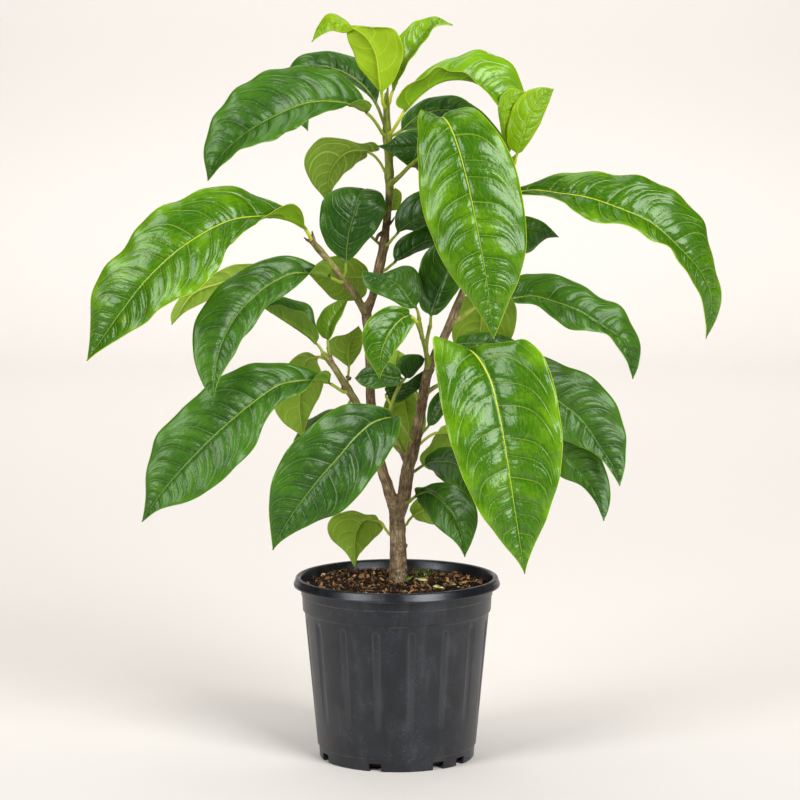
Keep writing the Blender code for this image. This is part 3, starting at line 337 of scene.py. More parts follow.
# Stems: (across, up, back, thickness) along each. The trunk goes on into the soil.
trunkFoot = (1.4, 0, 150, 9.5)      # x, y, z and radius, mm
stems = {
    "trunk": [(1.5, 172, 0, 19), (1.5, 200, 0, 17), (0.5, 230, 0, 16), (-1, 256, 0, 15)],
    "leader": [(0, 240, 0, 13), (-7, 262, 0, 12), (-14.5, 285, 2, 10.5), (-21, 315, 4, 10),
               (-26, 355, 5, 9.5), (-28, 420, 5, 9), (-30, 443, 5, 10.5), (-24.3, 458, 5, 8.7),
               (-18.4, 484, 5, 9.5), (-13.5, 506, 5, 9.5), (-10, 535, 4, 7.4), (-7.5, 565, 2, 8),
               (-7.5, 577, 1, 9.5), (-8.2, 597, 0, 7.8), (-9.5, 619, 0, 9), (-10, 640, 0, 6.5),
               (-10.5, 652, 0, 5.5), (-10, 662, 0, 4.2)],
    "right": [(2, 240, 0, 13), (7, 258, -2, 13.5), (10.8, 285, -6, 13), (16.4, 305, -8, 12.5),
              (20.3, 325, -10, 11), (26, 355, -12, 10.5), (31, 383, -14, 9.5), (39, 402, -15, 9),
              (46.5, 416, -16, 8.5), (55.7, 437, -15, 9), (66, 463, -14, 7.5), (80, 494, -12, 7),
              (94, 528, -10, 6.6), (106, 560, -8, 6), (115, 590, -6, 5), (116.5, 598, -6, 4)],
    "upperLeft": [(-29, 438, 5, 7.5), (-43.4, 462.5, 0, 7.5), (-54, 475, -4, 7.6),
                  (-66.6, 492, -8, 6.5), (-79, 507, -12, 7), (-86, 515, -14, 5)],
    "lowerLeft": [(-25, 323, 4, 8), (-42, 355, -8, 7.8), (-51, 369, -12, 7.6),
                  (-58.4, 381, -14, 6.8), (-65.6, 392, -16, 6.6), (-74, 402, -18, 5)],
    "topTwig": [(-7, 570, 0, 5), (3, 579, -8, 4.6), (13, 589, -16, 4.2), (25, 599, -25, 4),
                (37, 606, -30, 4), (49, 608, -31, 3.6)],
    "leftFork": [(-65, 391, -16, 5), (-67, 400, -14, 4), (-68.5, 408, -12, 3.8)],
    "sideTwig": [(56, 431, -15, 5.5), (69, 441, -14, 5), (79, 448, -13, 4.6), (93, 454, -12, 4.4),
                 (103, 456, -12, 4)],
    "sprig": [(31, 386, -14, 5.5), (29.5, 402, -20, 4.8), (24.5, 420, -27, 4), (20, 433, -34, 3.6)],
    "sprigTop": [(25.5, 417, -26, 4), (23.5, 429, -27, 3.8), (22, 438, -28, 3.6)],
    "sprigFork": [(29, 404, -20, 4), (30.5, 417, -22, 3.8), (33.5, 430, -24, 3.6)],
    "centreTwig": [(9, 296, -5, 6), (-1, 318, -10, 5), (-7, 337, -14, 4.2), (-3, 357, -18, 3.8),
                   (4, 372, -22, 3.6)],
    "lowTwig": [(28, 361, -12, 4.6), (40, 369, -6, 4.2), (55, 375, 2, 4), (81, 381, 8, 4),
                (104, 385, 12, 3.8)],
}

# Leaves: "spine" runs from the stem along the stalk and the midrib to the tip, and "stalk"
# counts its points before the blade. "reach" spreads it to the front or back. "left" and
# "right" are the margins, and "back" is how far their middle lies behind the midrib.
leaves = {
    "leaf_01": dict(stem="leader", tone="young", back=(-9, 12), stalk=1, reach=1.5,
        spine=[(-13, 646, -2), (-15, 661, -7), (-17, 679, -10), (-21, 703, -12), (-32, 720, -12),
               (-48, 729, -8), (-65, 732, -2), (-77, 725, 2), (-85, 713, 4)],
        left=[(-1, 677), (6, 698), (6, 714), (-6, 727), (-28, 728), (-42, 726), (-53, 722),
              (-65, 724), (-77, 719)],
        right=[(-23, 671), (-36, 686), (-45, 706), (-50, 723), (-51, 735), (-60, 741), (-69, 741),
               (-79, 730)]),
    "leaf_02": dict(stem="leader", tone="bright", tint=1.8, back=(4, -14), stalk=1, reach=2,
        spine=[(-8, 648, 2), (-5, 662, 7), (6, 690, 9), (18, 708, 11), (30, 721, 12), (42, 735, 11),
               (56, 730, 8)],
        left=[(-5, 678), (-1, 700), (4, 721), (14, 731), (25, 736), (38, 739)],
        right=[(0, 672), (13, 695), (27, 713), (40, 729)]),
    "leaf_03": dict(stem="leader", tone="dark", back=(-8, 10), stalk=1, reach=2.2,
        spine=[(-10, 623, 6), (-20, 650, 12), (-34, 670, 20), (-58, 685, 28), (-85, 688, 34),
               (-101, 667, 38), (-99, 643, 38), (-89, 624, 36)],
        left=[(-27, 658), (-45, 671), (-67, 678), (-86, 675), (-91, 660), (-88, 640)],
        right=[(-18, 668), (-40, 697), (-63, 703), (-82, 704), (-105, 693), (-114, 667),
               (-106, 640)]),
    "leaf_04": dict(stem="leader", tone="dark", back=(-26, 14), stalk=2, reach=2.4,
        spine=[(-12, 618, -3), (-23, 635, -9), (-30, 642, -13), (-40, 648, -17), (-51, 652, -20),
               (-87, 653, -28), (-125, 638, -34), (-154, 620, -36), (-176, 599, -36),
               (-189, 574, -34)],
        flap=([(-25, 642), (-24, 649), (-28, 654), (-36, 656), (-43, 654), (-50, 650)], 0.10, 12),
        left=[(-58, 646), (-70, 644), (-80, 640), (-105, 625), (-131, 613), (-152, 608), (-175, 590)],
        right=[(-32, 654), (-43, 671), (-62, 684), (-102, 689), (-138, 681), (-170, 657),
               (-190, 623), (-193, 597)]),
    "leaf_05": dict(stem="leader", tone="bright", tint=1.3, back=(18, -16), stalk=2, reach=3,
        spine=[(-7, 620, -3), (2, 634, -7), (7, 643, -8), (25, 662, -10), (40, 672, -10),
               (56, 676, -9), (78, 673, -8), (97, 660, -6), (109, 648, -4), (114, 637, -2)],
        left=[(8, 655), (17, 672), (29, 687), (43, 692), (68, 703), (98, 702), (121, 683),
              (127, 660)],
        right=[(-1, 651), (4, 665), (16, 672), (40, 687), (54, 686), (70, 681), (88, 665),
               (104, 646)]),
    "leaf_06": dict(stem="right", tone="young", back=(2, 5), stalk=1,
        spine=[(117, 587, -9), (120, 600, -16), (124, 614, -20), (131, 634, -20), (143, 654, -18),
               (157, 666, -14)],
        left=[(111, 610), (110, 622), (112, 636), (118, 652), (130, 664), (145, 668)],
        right=[(124, 602), (132, 612), (141, 626), (148, 641), (154, 657)]),
    "leaf_07": dict(stem="right", tone="young", back=(3, 2), stalk=1,
        spine=[(113, 588, -4), (111, 599, -9), (109, 615, -13), (107, 635, -15), (112, 653, -15),
               (129, 663, -13)],
        left=[(107, 608), (103, 630), (101, 649), (104, 660), (114, 667)],
        right=[(116, 610), (116, 628), (119, 643), (124, 654)]),
    "leaf_08": dict(stem="topTwig", tone="bright", spacing=18, lean=0.25, back=(6, 10), stalk=1,
        reach=1.05,
        spine=[(33, 604, -30), (35, 613, -38), (40, 628, -50), (45, 638, -66), (52, 631, -80),
               (60, 612, -88), (70, 576, -94), (81, 524, -98), (90, 474, -96), (97, 416, -88)],
        left=[(48, 622), (57, 644), (68, 648), (80, 645), (93, 633), (114, 601), (125, 563),
              (130, 513), (124, 480), (113, 454), (102, 428)],
        right=[(29, 624), (25, 646), (21, 637), (20.5, 618), (21, 589), (24, 551), (34, 520),
               (49, 487), (67, 462), (86, 436)]),
    "leaf_09": dict(stem="leader", tone="dark", tint=1, back=(10, -8), stalk=1, reach=2.4,
        spine=[(-7, 618, 4), (4, 624, 12), (23, 640, 20), (53, 645, 26), (83, 633, 30),
               (103, 615, 31), (113, 599, 31)],
        left=[(5, 636), (15, 648), (38, 659), (66, 657), (92, 637), (106, 619)],
        right=[(18, 626), (48, 627), (78, 616), (100, 603)]),
    "leaf_10": dict(stem="topTwig", tone="dark", back=(-2, 5), stalk=2,
        spine=[(44, 608, -29), (45, 612, -19), (38, 612, -11), (18, 608, -6), (3, 607, -8),
               (-9, 608, -11), (-20, 609, -10)],
        left=[(34, 597), (24, 588), (14, 588), (6, 593), (-6, 602)],
        right=[(36, 621), (24, 626), (14, 626), (6, 623), (-1, 619), (-9, 612)]),
    "leaf_11": dict(stem="leader", tone="pale", tint=-2, back=(10, -4), stalk=2, reach=2.2,
        spine=[(-10, 580, 4), (-18, 594, 10), (-27, 602, 15), (-47, 603, 22), (-58, 595, 25),
               (-66, 582, 27), (-69, 552, 27)],
        left=[(-17, 605), (-22, 612), (-35, 611), (-54, 616), (-76, 617), (-89, 604), (-92, 591),
              (-86, 573), (-76, 561)],
        right=[(-30, 598), (-40, 591), (-53, 580), (-63, 567)]),
    "leaf_12": dict(stem="upperLeft", tone="dark", back=(0, 3), stalk=1, reach=1.5,
        spine=[(-52, 478, -6), (-51, 492, -10), (-48, 522, -14), (-43, 540, -15), (-39, 555, -14),
               (-35, 565, -9), (-29, 566, 0)],
        left=[(-61, 500), (-71, 511), (-77, 528), (-77, 542), (-74, 555), (-62, 566), (-46, 568)],
        right=[(-42, 499), (-33, 510), (-22, 522), (-14, 535), (-10, 547), (-13, 559), (-21, 565)]),
    "leaf_13": dict(stem="upperLeft", tone="bright", spacing=19, back=(-20, 16), stalk=1, reach=2.2,
        spine=[(-85, 514, -15), (-91, 525, -21), (-102, 533, -26), (-114, 537, -31), (-134, 539, -38),
               (-169, 534, -48), (-215, 508, -54), (-248, 478, -54), (-276, 443, -50),
               (-310, 394, -42)],
        flap=([(-92, 531), (-96, 546), (-104, 552), (-116, 549), (-126, 543), (-134, 538)], 0.15, 20),
        left=[(-143, 530), (-156, 521), (-170, 505), (-180, 484), (-203, 463),
              (-230, 451), (-252, 432), (-280, 415), (-300, 402)],
        right=[(-96, 538), (-104, 546), (-115, 550), (-132, 557), (-157, 567), (-180, 570),
               (-215, 557), (-248, 541), (-274, 507), (-299, 479), (-307, 447), (-307, 420)]),
    "leaf_14": dict(stem="upperLeft", tone="pale", back=(6, 4), stalk=1, reach=1.8,
        spine=[(-66, 490, -6), (-82, 487, 4), (-114, 484, 22), (-148, 480, 36), (-177, 472, 44),
               (-204, 461, 47), (-225, 430, 44)],
        left=[(-106, 492), (-132, 491), (-160, 491), (-182, 482), (-216, 458), (-226, 440)],
        right=[(-108, 476), (-135, 468), (-162, 460), (-189, 454), (-214, 441)]),
    "leaf_15": dict(stem="upperLeft", tone="dark", back=(-8, 4), stalk=2, reach=1.4,
        spine=[(-54, 471, -7), (-61, 475, -12), (-66, 477, -15), (-78, 481, -20), (-90, 482, -24),
               (-103, 482, -29), (-118, 476, -35), (-134, 466, -43), (-160, 440, -54),
               (-178, 404, -63), (-184, 356, -70)],
        flap=([(-64, 482), (-66, 490), (-71, 494), (-78, 492), (-84, 487), (-89, 481)], 0.12, 14),
        left=[(-97, 472), (-110, 461), (-129, 449), (-145, 426), (-155, 415), (-162, 401),
              (-177, 377)],
        right=[(-74, 486), (-83, 491), (-97, 497), (-115, 500), (-131, 496), (-167, 478), (-192, 452),
               (-204, 425), (-203, 397), (-194, 370)]),
    "leaf_16": dict(stem="leader", tone="pale", back=(3, 3), stalk=1, reach=2,
        spine=[(-20, 478, 10), (-27, 478, 18), (-45, 478, 30), (-65, 477, 37), (-88, 481, 40)],
        left=[(-31, 490), (-43, 497), (-63, 499), (-79, 492)],
        right=[(-33, 458), (-48, 454), (-63, 456), (-78, 470)]),
    "leaf_17": dict(stem="lowerLeft", tone="dark", back=(-12, 14), stalk=1,
        spine=[(-73, 402, -18), (-79, 410, -17), (-87, 418, -16), (-97, 425, -14), (-116, 437, -10),
               (-134, 448, -6)],
        left=[(-78, 419), (-82, 431), (-92, 441), (-104, 447), (-119, 450)],
        right=[(-80, 428), (-83, 443), (-91, 451), (-102, 457), (-119, 457)]),
    "leaf_19": dict(stem="leftFork", tone="dark", tint=1.7, back=(4, -8), stalk=1,
        spine=[(-68.5, 408, -12), (-69, 414, -11), (-68, 420, -9), (-66, 431, -6), (-60, 442, -3),
               (-49, 455, 0)],
        left=[(-73, 416), (-79, 424), (-80, 434), (-75, 444), (-67, 450), (-58, 455)],
        right=[(-66, 418), (-61, 430), (-54, 442)]),
    "leaf_20": dict(stem="lowerLeft", tone="pale", back=(2, 2), stalk=1, reach=2,
        spine=[(-50, 368, -8), (-48, 387, 4), (-49, 400, 10), (-47, 412, 14), (-38, 429, 18)],
        left=[(-42, 394), (-36, 404), (-34, 413), (-34, 421)],
        right=[(-57, 394), (-67, 403), (-69, 412), (-62, 418), (-50, 421)]),
    "leaf_21": dict(stem="lowerLeft", tone="pale", back=(4, 4), stalk=1, reach=1.3,
        spine=[(-67, 394, -14), (-77, 398, -2), (-90, 396, 20), (-95, 379, 38), (-97, 357, 46),
               (-97, 343, 48), (-94, 319, 45)],
        left=[(-90, 403), (-104, 397), (-117, 376), (-123, 350), (-115, 334), (-104, 325)],
        right=[(-79, 393), (-73, 377), (-76, 361), (-85, 344), (-91, 329)]),
    "leaf_22": dict(stem="lowerLeft", tone="dark", back=(-14, 10), stalk=2, reach=1.5,
        spine=[(-50, 361, -13), (-58, 366, -18), (-66, 371, -22), (-76, 374, -27), (-86, 375, -31),
               (-101, 374, -37), (-118, 370, -43), (-138, 357, -48), (-179, 323, -55),
               (-220, 281, -56), (-240, 256, -54), (-255, 233, -50)],
        flap=([(-65, 377), (-67, 383), (-72, 385), (-77, 383), (-82, 379), (-85, 374)], 0.085, 12),
        left=[(-92, 365), (-102, 359), (-115, 353), (-131, 335), (-141, 310), (-157, 292),
              (-183, 268), (-207, 254), (-238, 245)],
        right=[(-72, 378), (-79, 383), (-90, 388), (-112, 392), (-143, 392), (-181, 376), (-215, 346),
               (-240, 320), (-251, 280), (-252, 252)]),
    "leaf_23": dict(stem="right", tone="dark", back=(-6, -4), stalk=2, reach=1.15,
        spine=[(15, 312, -14), (6, 327, -38), (-3, 337, -60), (-23, 333, -74), (-41, 318, -82),
               (-59, 297, -87), (-77, 277, -89), (-95, 254, -87), (-112, 229, -82), (-124, 205, -76)],
        left=[(4, 339), (3, 325), (-7, 302), (-21, 282), (-36, 262), (-54, 244), (-87, 230),
              (-115, 214)],
        right=[(-6, 344), (-23, 350), (-38, 352), (-59, 348), (-90, 325), (-112, 302), (-127, 265),
               (-127, 230)]),
    "leaf_24": dict(stem="trunk", tone="pale", back=(3, 3), stalk=2, reach=1.9,
        spine=[(-6, 219, 4), (-12, 227, 12), (-16, 233, 19), (-31, 236, 30), (-38, 228, 36),
               (-42, 215, 39), (-42, 188, 38)],
        left=[(-21, 240), (-32, 241), (-47, 245), (-59, 242), (-69, 231), (-66, 217), (-51, 202)],
        right=[(-14, 226), (-26, 213), (-39, 198)]),
    "leaf_25": dict(stem="right", tone="dark", tint=0.9, back=(-4, -4), stalk=1, reach=1.6,
        spine=[(9, 250, -7), (18, 258, -13), (28, 263, -19), (36, 261, -25), (45, 254, -32),
               (54, 244, -37), (61, 231, -40), (66, 216, -41), (68, 198, -40)],
        left=[(18, 267), (27, 268), (36, 272), (48, 273), (61, 270), (71, 263), (79, 249),
              (81, 233), (75, 213)],
        right=[(21, 253), (25, 248), (33, 236), (43, 225), (55, 216), (63, 207)]),
    "leaf_26": dict(stem="trunk", tone="pale", back=(3, 3), stalk=1, reach=1.8,
        spine=[(8, 228, 5), (15, 238, 14), (28, 245, 24), (44, 244, 32), (60, 232, 36)],
        left=[(22, 234), (34, 231), (50, 229)],
        right=[(13, 247), (21, 257), (36, 258), (52, 246)]),
    "leaf_27": dict(stem="right", tone="dark", back=(6, 8), stalk=1, reach=1.8,
        spine=[(14, 281, -5), (27, 290, 0), (34, 293, 5), (44, 294, 12), (59, 291, 20),
               (71, 276, 25), (79, 254, 27)],
        left=[(29, 298), (38, 305), (47, 308), (61, 307), (74, 295), (80, 275)],
        right=[(36, 284), (42, 277), (50, 271), (63, 264), (73, 256)]),
    "leaf_28": dict(stem="right", tone="pale", back=(4, 4), stalk=1, reach=1.4,
        spine=[(23, 353, -9), (14, 366, 10), (7, 365, 30), (9, 346, 42), (12, 325, 45),
               (9, 297, 42)],
        left=[(-2, 366), (-12, 354), (-15, 335), (-8, 315), (2, 302)],
        right=[(18, 366), (28, 350), (28, 325), (18, 307)]),
    "leaf_29": dict(stem="right", tone="dark", back=(4, 4), stalk=1, reach=1.5,
        spine=[(20, 317, -4), (31, 328, 3), (37, 339, 8), (44, 352, 13), (55, 361, 17),
               (69, 367, 20)],
        left=[(30, 336), (32, 350), (39, 361), (53, 369)],
        right=[(39, 331), (49, 343), (61, 353)]),
    "leaf_30": dict(stem="right", tone="pale", back=(8, 0), stalk=2, reach=1.6,
        spine=[(18, 306, -2), (30, 317, 8), (39, 322, 17), (49, 323, 26), (63, 317, 35),
               (73, 302, 41), (77, 277, 41)],
        left=[(31, 309), (23, 295), (31, 287), (52, 281), (66, 278)],
        right=[(46, 329), (60, 330), (76, 320), (84, 298)]),
    "leaf_31": dict(stem="sprig", tone="bright", tint=-1, back=(-4, -3), stalk=1, reach=1.2,
        spine=[(20, 433, -34), (14, 439, -42), (6, 437, -47), (-3, 428, -51), (-11, 415, -54),
               (-16, 400, -54), (-17, 376, -49)],
        left=[(18, 433), (15, 427), (7, 415), (-1, 404), (-8, 393), (-14, 384)],
        right=[(14, 445), (6, 448), (-6, 449), (-17, 445), (-26, 438), (-33, 427), (-35, 415),
               (-30, 397), (-23, 386)]),
    "leaf_32": dict(stem="sprigTop", tone="dark", tint=1, back=(-3, 4), stalk=1,
        spine=[(22, 438, -28), (20, 446, -30), (14, 453, -33), (7, 464, -35), (-1, 472, -34),
               (-13, 477, -31), (-35, 484, -26)],
        left=[(8, 447), (-4, 454), (-15, 459), (-26, 464), (-33, 471)],
        right=[(22, 452), (26, 463), (25, 475), (16, 488), (6, 490), (-4, 486), (-16, 482),
               (-28, 483)]),
    "leaf_33": dict(stem="sprigFork", tone="dark", back=(-3, 0), stalk=1,
        spine=[(34, 430, -24), (34, 438, -25), (38, 452, -24), (43, 467, -22), (50, 484, -20),
               (62, 509, -16)],
        left=[(30, 441), (24, 447), (21, 465), (22, 485), (27, 500), (37, 510), (49, 512)],
        right=[(40, 440), (49, 448), (56, 457), (63, 468), (67, 487)]),
    "leaf_34": dict(stem="centreTwig", tone="dark", tint=1, back=(-3, 3), stalk=1,
        spine=[(3, 370, -21), (6, 376, -26), (-6, 378, -28), (-22, 381, -28), (-42, 377, -24)],
        left=[(1, 370), (-11, 368), (-23, 366), (-34, 369), (-40, 374)],
        right=[(2, 387), (-9, 393), (-20, 391), (-33, 387)]),
    "leaf_35": dict(stem="leader", tone="dark", back=(4, 8), stalk=1, reach=3,
        spine=[(-11, 508, 1), (0, 521, -2), (10, 530, -4), (26, 538, -6), (43, 541, -6),
               (68, 533, -2)],
        left=[(-2, 530), (-1, 543), (7, 555), (22, 564), (43, 565), (61, 552)],
        right=[(10, 525), (18, 524), (33, 530), (53, 533)]),
    "leaf_36": dict(stem="leader", tone="dark", back=(4, 8), stalk=1,
        spine=[(-15, 482, 3), (-3, 492, 4), (10, 502, 5), (22, 510, 5), (35, 515, 6), (51, 514, 7),
               (73, 500, 8)],
        left=[(-4, 501), (-2, 510), (5, 518), (16, 524), (31, 531), (51, 531), (67, 516)],
        right=[(11, 498), (22, 503), (35, 507), (53, 504)]),
    "leaf_37": dict(stem="leader", tone="pale", back=(2, 2), stalk=1, reach=2,
        spine=[(-9, 537, 6), (-7, 543, 11), (-4, 553, 15), (-1, 567, 17)],
        left=[(1, 546), (5, 556), (4, 563)],
        right=[(-10, 547), (-10, 557), (-6, 565)]),
    "leaf_38": dict(stem="centreTwig", tone="dark", back=(-2, 4), stalk=1,
        spine=[(4, 371, -20), (8, 376, -18), (13, 383, -16), (20, 390, -14), (28, 396, -13)],
        left=[(2, 384), (0, 392), (6, 399), (16, 401), (24, 400)],
        right=[(14, 377), (21, 384), (26, 390)]),
    "leaf_39": dict(stem="right", tone="bright", tint=-1.5, back=(18, -14), stalk=1, reach=3,
        spine=[(102, 549, -9), (113, 559, -11), (133, 565, -13), (162, 562, -16), (190, 558, -18),
               (225, 546, -20), (255, 532, -20), (283, 507, -18), (305, 482, -14), (315, 455, -10),
               (309, 416, -6)],
        left=[(120, 566), (132, 571), (152, 579), (181, 584), (215, 582), (252, 577), (288, 556),
              (309, 529), (317, 493), (325, 465), (321, 438)],
        right=[(120, 560), (148, 559), (167, 553), (178, 543), (203, 532), (228, 531), (255, 515),
               (272, 508), (283, 492), (303, 460), (309, 430)]),
    "leaf_40": dict(stem="right", tone="dark", back=(5, 3), stalk=1, reach=2.5,
        spine=[(91, 521, -6), (103, 526, 4), (121, 528, 13), (141, 525, 20), (162, 518, 24)],
        left=[(109, 537), (130, 539), (148, 532)],
        right=[(109, 513), (123, 501), (137, 505), (149, 516)]),
    "leaf_41": dict(stem="sideTwig", tone="dark", tint=1, back=(12, -8), stalk=1, reach=2.5,
        spine=[(102, 456, -12), (111, 456, -14), (136, 459, -18), (156, 454, -20), (181, 445, -22),
               (209, 427, -22), (228, 413, -20), (236, 376, -16)],
        left=[(113, 466), (124, 480), (137, 482), (162, 480), (181, 473), (200, 460), (221, 451),
              (236, 431), (244, 407), (242, 389)],
        right=[(118, 452), (139, 450), (156, 437), (173, 426), (193, 424), (209, 421), (220, 409),
               (230, 394)]),
    "leaf_42": dict(stem="right", tone="bright", spacing=21, lean=0.25, back=(-8, -8), stalk=2,
        spine=[(40, 405, -18), (54, 406, -44), (66, 406, -66), (76, 403, -80), (92, 379, -95),
               (103, 338, -104), (111, 292, -108), (117, 252, -106), (123, 214, -100),
               (128, 181, -92)],
        left=[(92, 412), (116, 414), (128, 416), (143, 404), (154, 382), (161, 353), (166, 316),
              (163, 278), (149, 234), (133, 198)],
        right=[(52, 413), (37, 419), (37, 403), (40, 377), (48, 334), (62, 288), (82, 244),
               (107, 210), (121, 193)]),
    "leaf_43": dict(stem="right", tone="dark", back=(4, 2), stalk=1, reach=1.4,
        spine=[(44, 412, -12), (58, 411, 4), (75, 412, 14), (98, 410, 22), (118, 400, 26),
               (135, 380, 26)],
        left=[(61, 418), (70, 421), (83, 423), (102, 421), (119, 414), (132, 399)],
        right=[(70, 400), (93, 393), (115, 383)]),
    "leaf_44": dict(stem="sideTwig", tone="pale", back=(4, 4), stalk=1, reach=1.5,
        spine=[(88, 453, -10), (87, 459, 2), (86, 453, 14), (85, 438, 22), (83, 420, 28),
               (81, 383, 32)],
        left=[(69, 459), (58, 444), (55, 423), (60, 403), (71, 389)],
        right=[(103, 465), (117, 455), (120, 440), (114, 415), (97, 392)]),
    "leaf_45": dict(stem="lowTwig", tone="dark", back=(5, -5), stalk=1, reach=4,
        spine=[(103, 385, 12), (114, 384, 15), (133, 375, 18), (160, 355, 21), (183, 337, 23),
               (205, 306, 24), (215, 290, 24), (223, 269, 22)],
        left=[(121, 395), (133, 400), (147, 399), (169, 389), (191, 381), (215, 358), (228, 327),
              (229, 294), (226, 278)],
        right=[(119, 370), (133, 350), (148, 330), (166, 315), (181, 309), (195, 303), (207, 293),
               (217, 279)]),
    "leaf_46": dict(stem="lowTwig", tone="dark", back=(4, 4), stalk=1, reach=2.2,
        spine=[(94, 382, 12), (104, 370, 24), (123, 350, 36), (148, 320, 44), (167, 300, 46),
               (187, 278, 46), (199, 259, 45), (207, 234, 42)],
        left=[(118, 364), (143, 350), (173, 330), (198, 307), (210, 283), (214, 258), (211, 243)],
        right=[(107, 352), (121, 325), (141, 297), (164, 278), (184, 269), (199, 252), (204, 241)]),
    "leaf_47": dict(stem="centreTwig", tone="dark", back=(3, -2), stalk=1,
        spine=[(-5, 350, -16), (-11, 360, -14), (-3, 363, -12), (8, 365, -9), (22, 374, -6),
               (38, 386, -2)],
        left=[(-12, 367), (-3, 371), (9, 373), (21, 381), (30, 386)],
        right=[(-6, 353), (4, 353), (16, 361), (29, 372), (36, 381)]),
    "leaf_48": dict(stem="centreTwig", tone="pale", back=(2, 2), stalk=1,
        spine=[(2, 368, -19), (-1, 378, -9), (-2, 388, -5), (1, 405, -2)],
        left=[(7, 385), (11, 397)],
        right=[(-10, 381), (-14, 392), (-8, 401)]),
    "leaf_49": dict(stem="leader", tone="dark", back=(6, 6), stalk=1,
        spine=[(-6, 598, 4), (6, 606, 24), (32, 607, 62), (62, 588, 98), (84, 550, 122),
               (92, 504, 128)],
        left=[(22, 628), (52, 630), (88, 600), (104, 560), (104, 528)],
        right=[(18, 588), (42, 566), (62, 545), (77, 520)]),
    "leaf_50": dict(stem="right", tone="dark", back=(6, 6), stalk=1,
        spine=[(33, 391, -14), (40, 394, 34), (60, 376, 84), (94, 340, 120), (114, 288, 136),
               (122, 235, 134)],
        left=[(50, 396), (70, 384), (98, 368), (124, 344), (140, 300), (136, 262)],
        right=[(44, 374), (62, 344), (84, 302), (104, 260)]),
    "leaf_51": dict(stem="upperLeft", tone="dark", back=(6, 6), stalk=2,
        spine=[(-77, 506, -6), (-86, 518, 10), (-99, 534, 36), (-140, 546, 66), (-188, 536, 94),
               (-224, 512, 110), (-252, 484, 114), (-272, 452, 110)],
        left=[(-114, 538), (-144, 537), (-184, 512), (-216, 484), (-240, 462), (-258, 450)],
        right=[(-112, 547), (-146, 558), (-190, 556), (-228, 538), (-258, 506), (-270, 478)]),
    "leaf_52": dict(stem="lowerLeft", tone="dark", back=(6, 6), stalk=1,
        spine=[(-44, 358, -6), (-50, 348, 32), (-62, 334, 80), (-76, 302, 118), (-88, 262, 134),
               (-96, 228, 136)],
        left=[(-40, 338), (-38, 314), (-50, 280), (-70, 248)],
        right=[(-70, 344), (-94, 330), (-108, 298), (-110, 258)]),
    "leaf_53": dict(stem="leader", tone="dark", back=(6, 6), stalk=1,
        spine=[(-14, 508, 6), (-27, 520, 30), (-43, 536, 66), (-50, 534, 100), (-52, 512, 126)],
        left=[(-48, 524), (-70, 535), (-72, 532), (-66, 520)],
        right=[(-26, 532), (-24, 548), (-28, 545), (-38, 524)]),
}

# How a leaf is made. Lengths are in mm; shares run from the midrib, 0, to the margin, 1.
leafMake = {
    "thickness": 0.45, "edge": 0.35, "ribUnder": 1.5,
    "ribWidth": 1.35,           # half of the midrib at the base
    "veinSpacing": 15, "fewestPairs": 9, "rowsPerPair": 7, "columns": 9, "columnWidth": 5.2,
    "quilt": 0.105,             # pillows between veins, as a share of their width
    "widestPillow": 26, "pillowTop": 0.6, "channel": 0.7, "rib": 0.7, "marginDrop": 0.7,
    "cupping": 0.055, "crumple": 0.5, "crumpleScale": 60,
    "wave": 2.0, "waveLength": 31,
    "stalk": 1.6, "foot": 2.4, "footFade": 3.2, "ringSpacing": 1.6, "sunk": 2,
    "tipReach": 2, "tipTurn": 0.45, "tipSeat": 0.3,     # a stalk that grows from a stem's end
    "firstColumn": 0.16, "secondColumn": 2.2,   # the columns beside the midrib
    "narrow": 6,                # below this the rows say nothing about the blade's turn
    "tipHalf": 0.5, "underLeast": 0.25, "ribSink": 0.8,
    "clear": 5,                 # how far along the stalk its way out of the stem is read
    "growth": 7,                # length over which the stalk grows into the blade
    "foldRows": 1.7,            # folded rows for each row before the fold crosses the midrib
    "swing": 6.28,
}
# A flap is a folded margin, where it crosses the midrib, and how far it stands out.
noFlap = ([], 0, 0)
# How the lateral veins leave the midrib and arch to the tip; the material reads the same numbers.
veinShape = {"lean": 0.40, "arch": 1.15, "last": 0.92, "even": 0.74, "shift": 0.43,
             "uneven": 0.15, "unevenTurns": 2.3}


def stemRow(row):
    # real place of a stem's row and, as a fourth number, its radius, in metres
    return Vector((*place(*row[:3]), row[3] / 2 * mm))


def stemLine(name, step=2.5):
    # centre line of a stem
    rows = [stemRow(row) for row in stems[name]]
    if name == "trunk":
        rows = [Vector([part * mm for part in trunkFoot])] + rows
    line = finePath(rows)
    count = max(4, round(pathLength(line) / (step * mm)))
    return spaced(line, [index / count for index in range(count + 1)])


def leafFoot(stem, towards, wanted):
    # where a stalk meets its stem: centre, way out and distance from the centre
    line = stemLines[stem]
    nearest = None
    for first, second in zip(line, line[1:]):
        start, step = Vector(first[:3]), Vector(second[:3]) - Vector(first[:3])
        share = min(max((wanted - start).dot(step) / step.length_squared, 0.0), 1.0)
        centre = start + step * share
        if nearest is None or (wanted - centre).length < nearest[0]:
            nearest = ((wanted - centre).length, centre, step.normalized(),
                       first[3] + (second[3] - first[3]) * share)
    centre, axis, radius = nearest[1:]
    tip = Vector(line[-1][:3])
    out = (towards - centre).normalized()
    side = out - axis * out.dot(axis)
    if (tip - centre).length < leafMake["tipReach"] * mm or side.length < leafMake["tipTurn"]:
        return tip, axis, leafMake["tipSeat"] * mm
    return centre, side.normalized(), radius


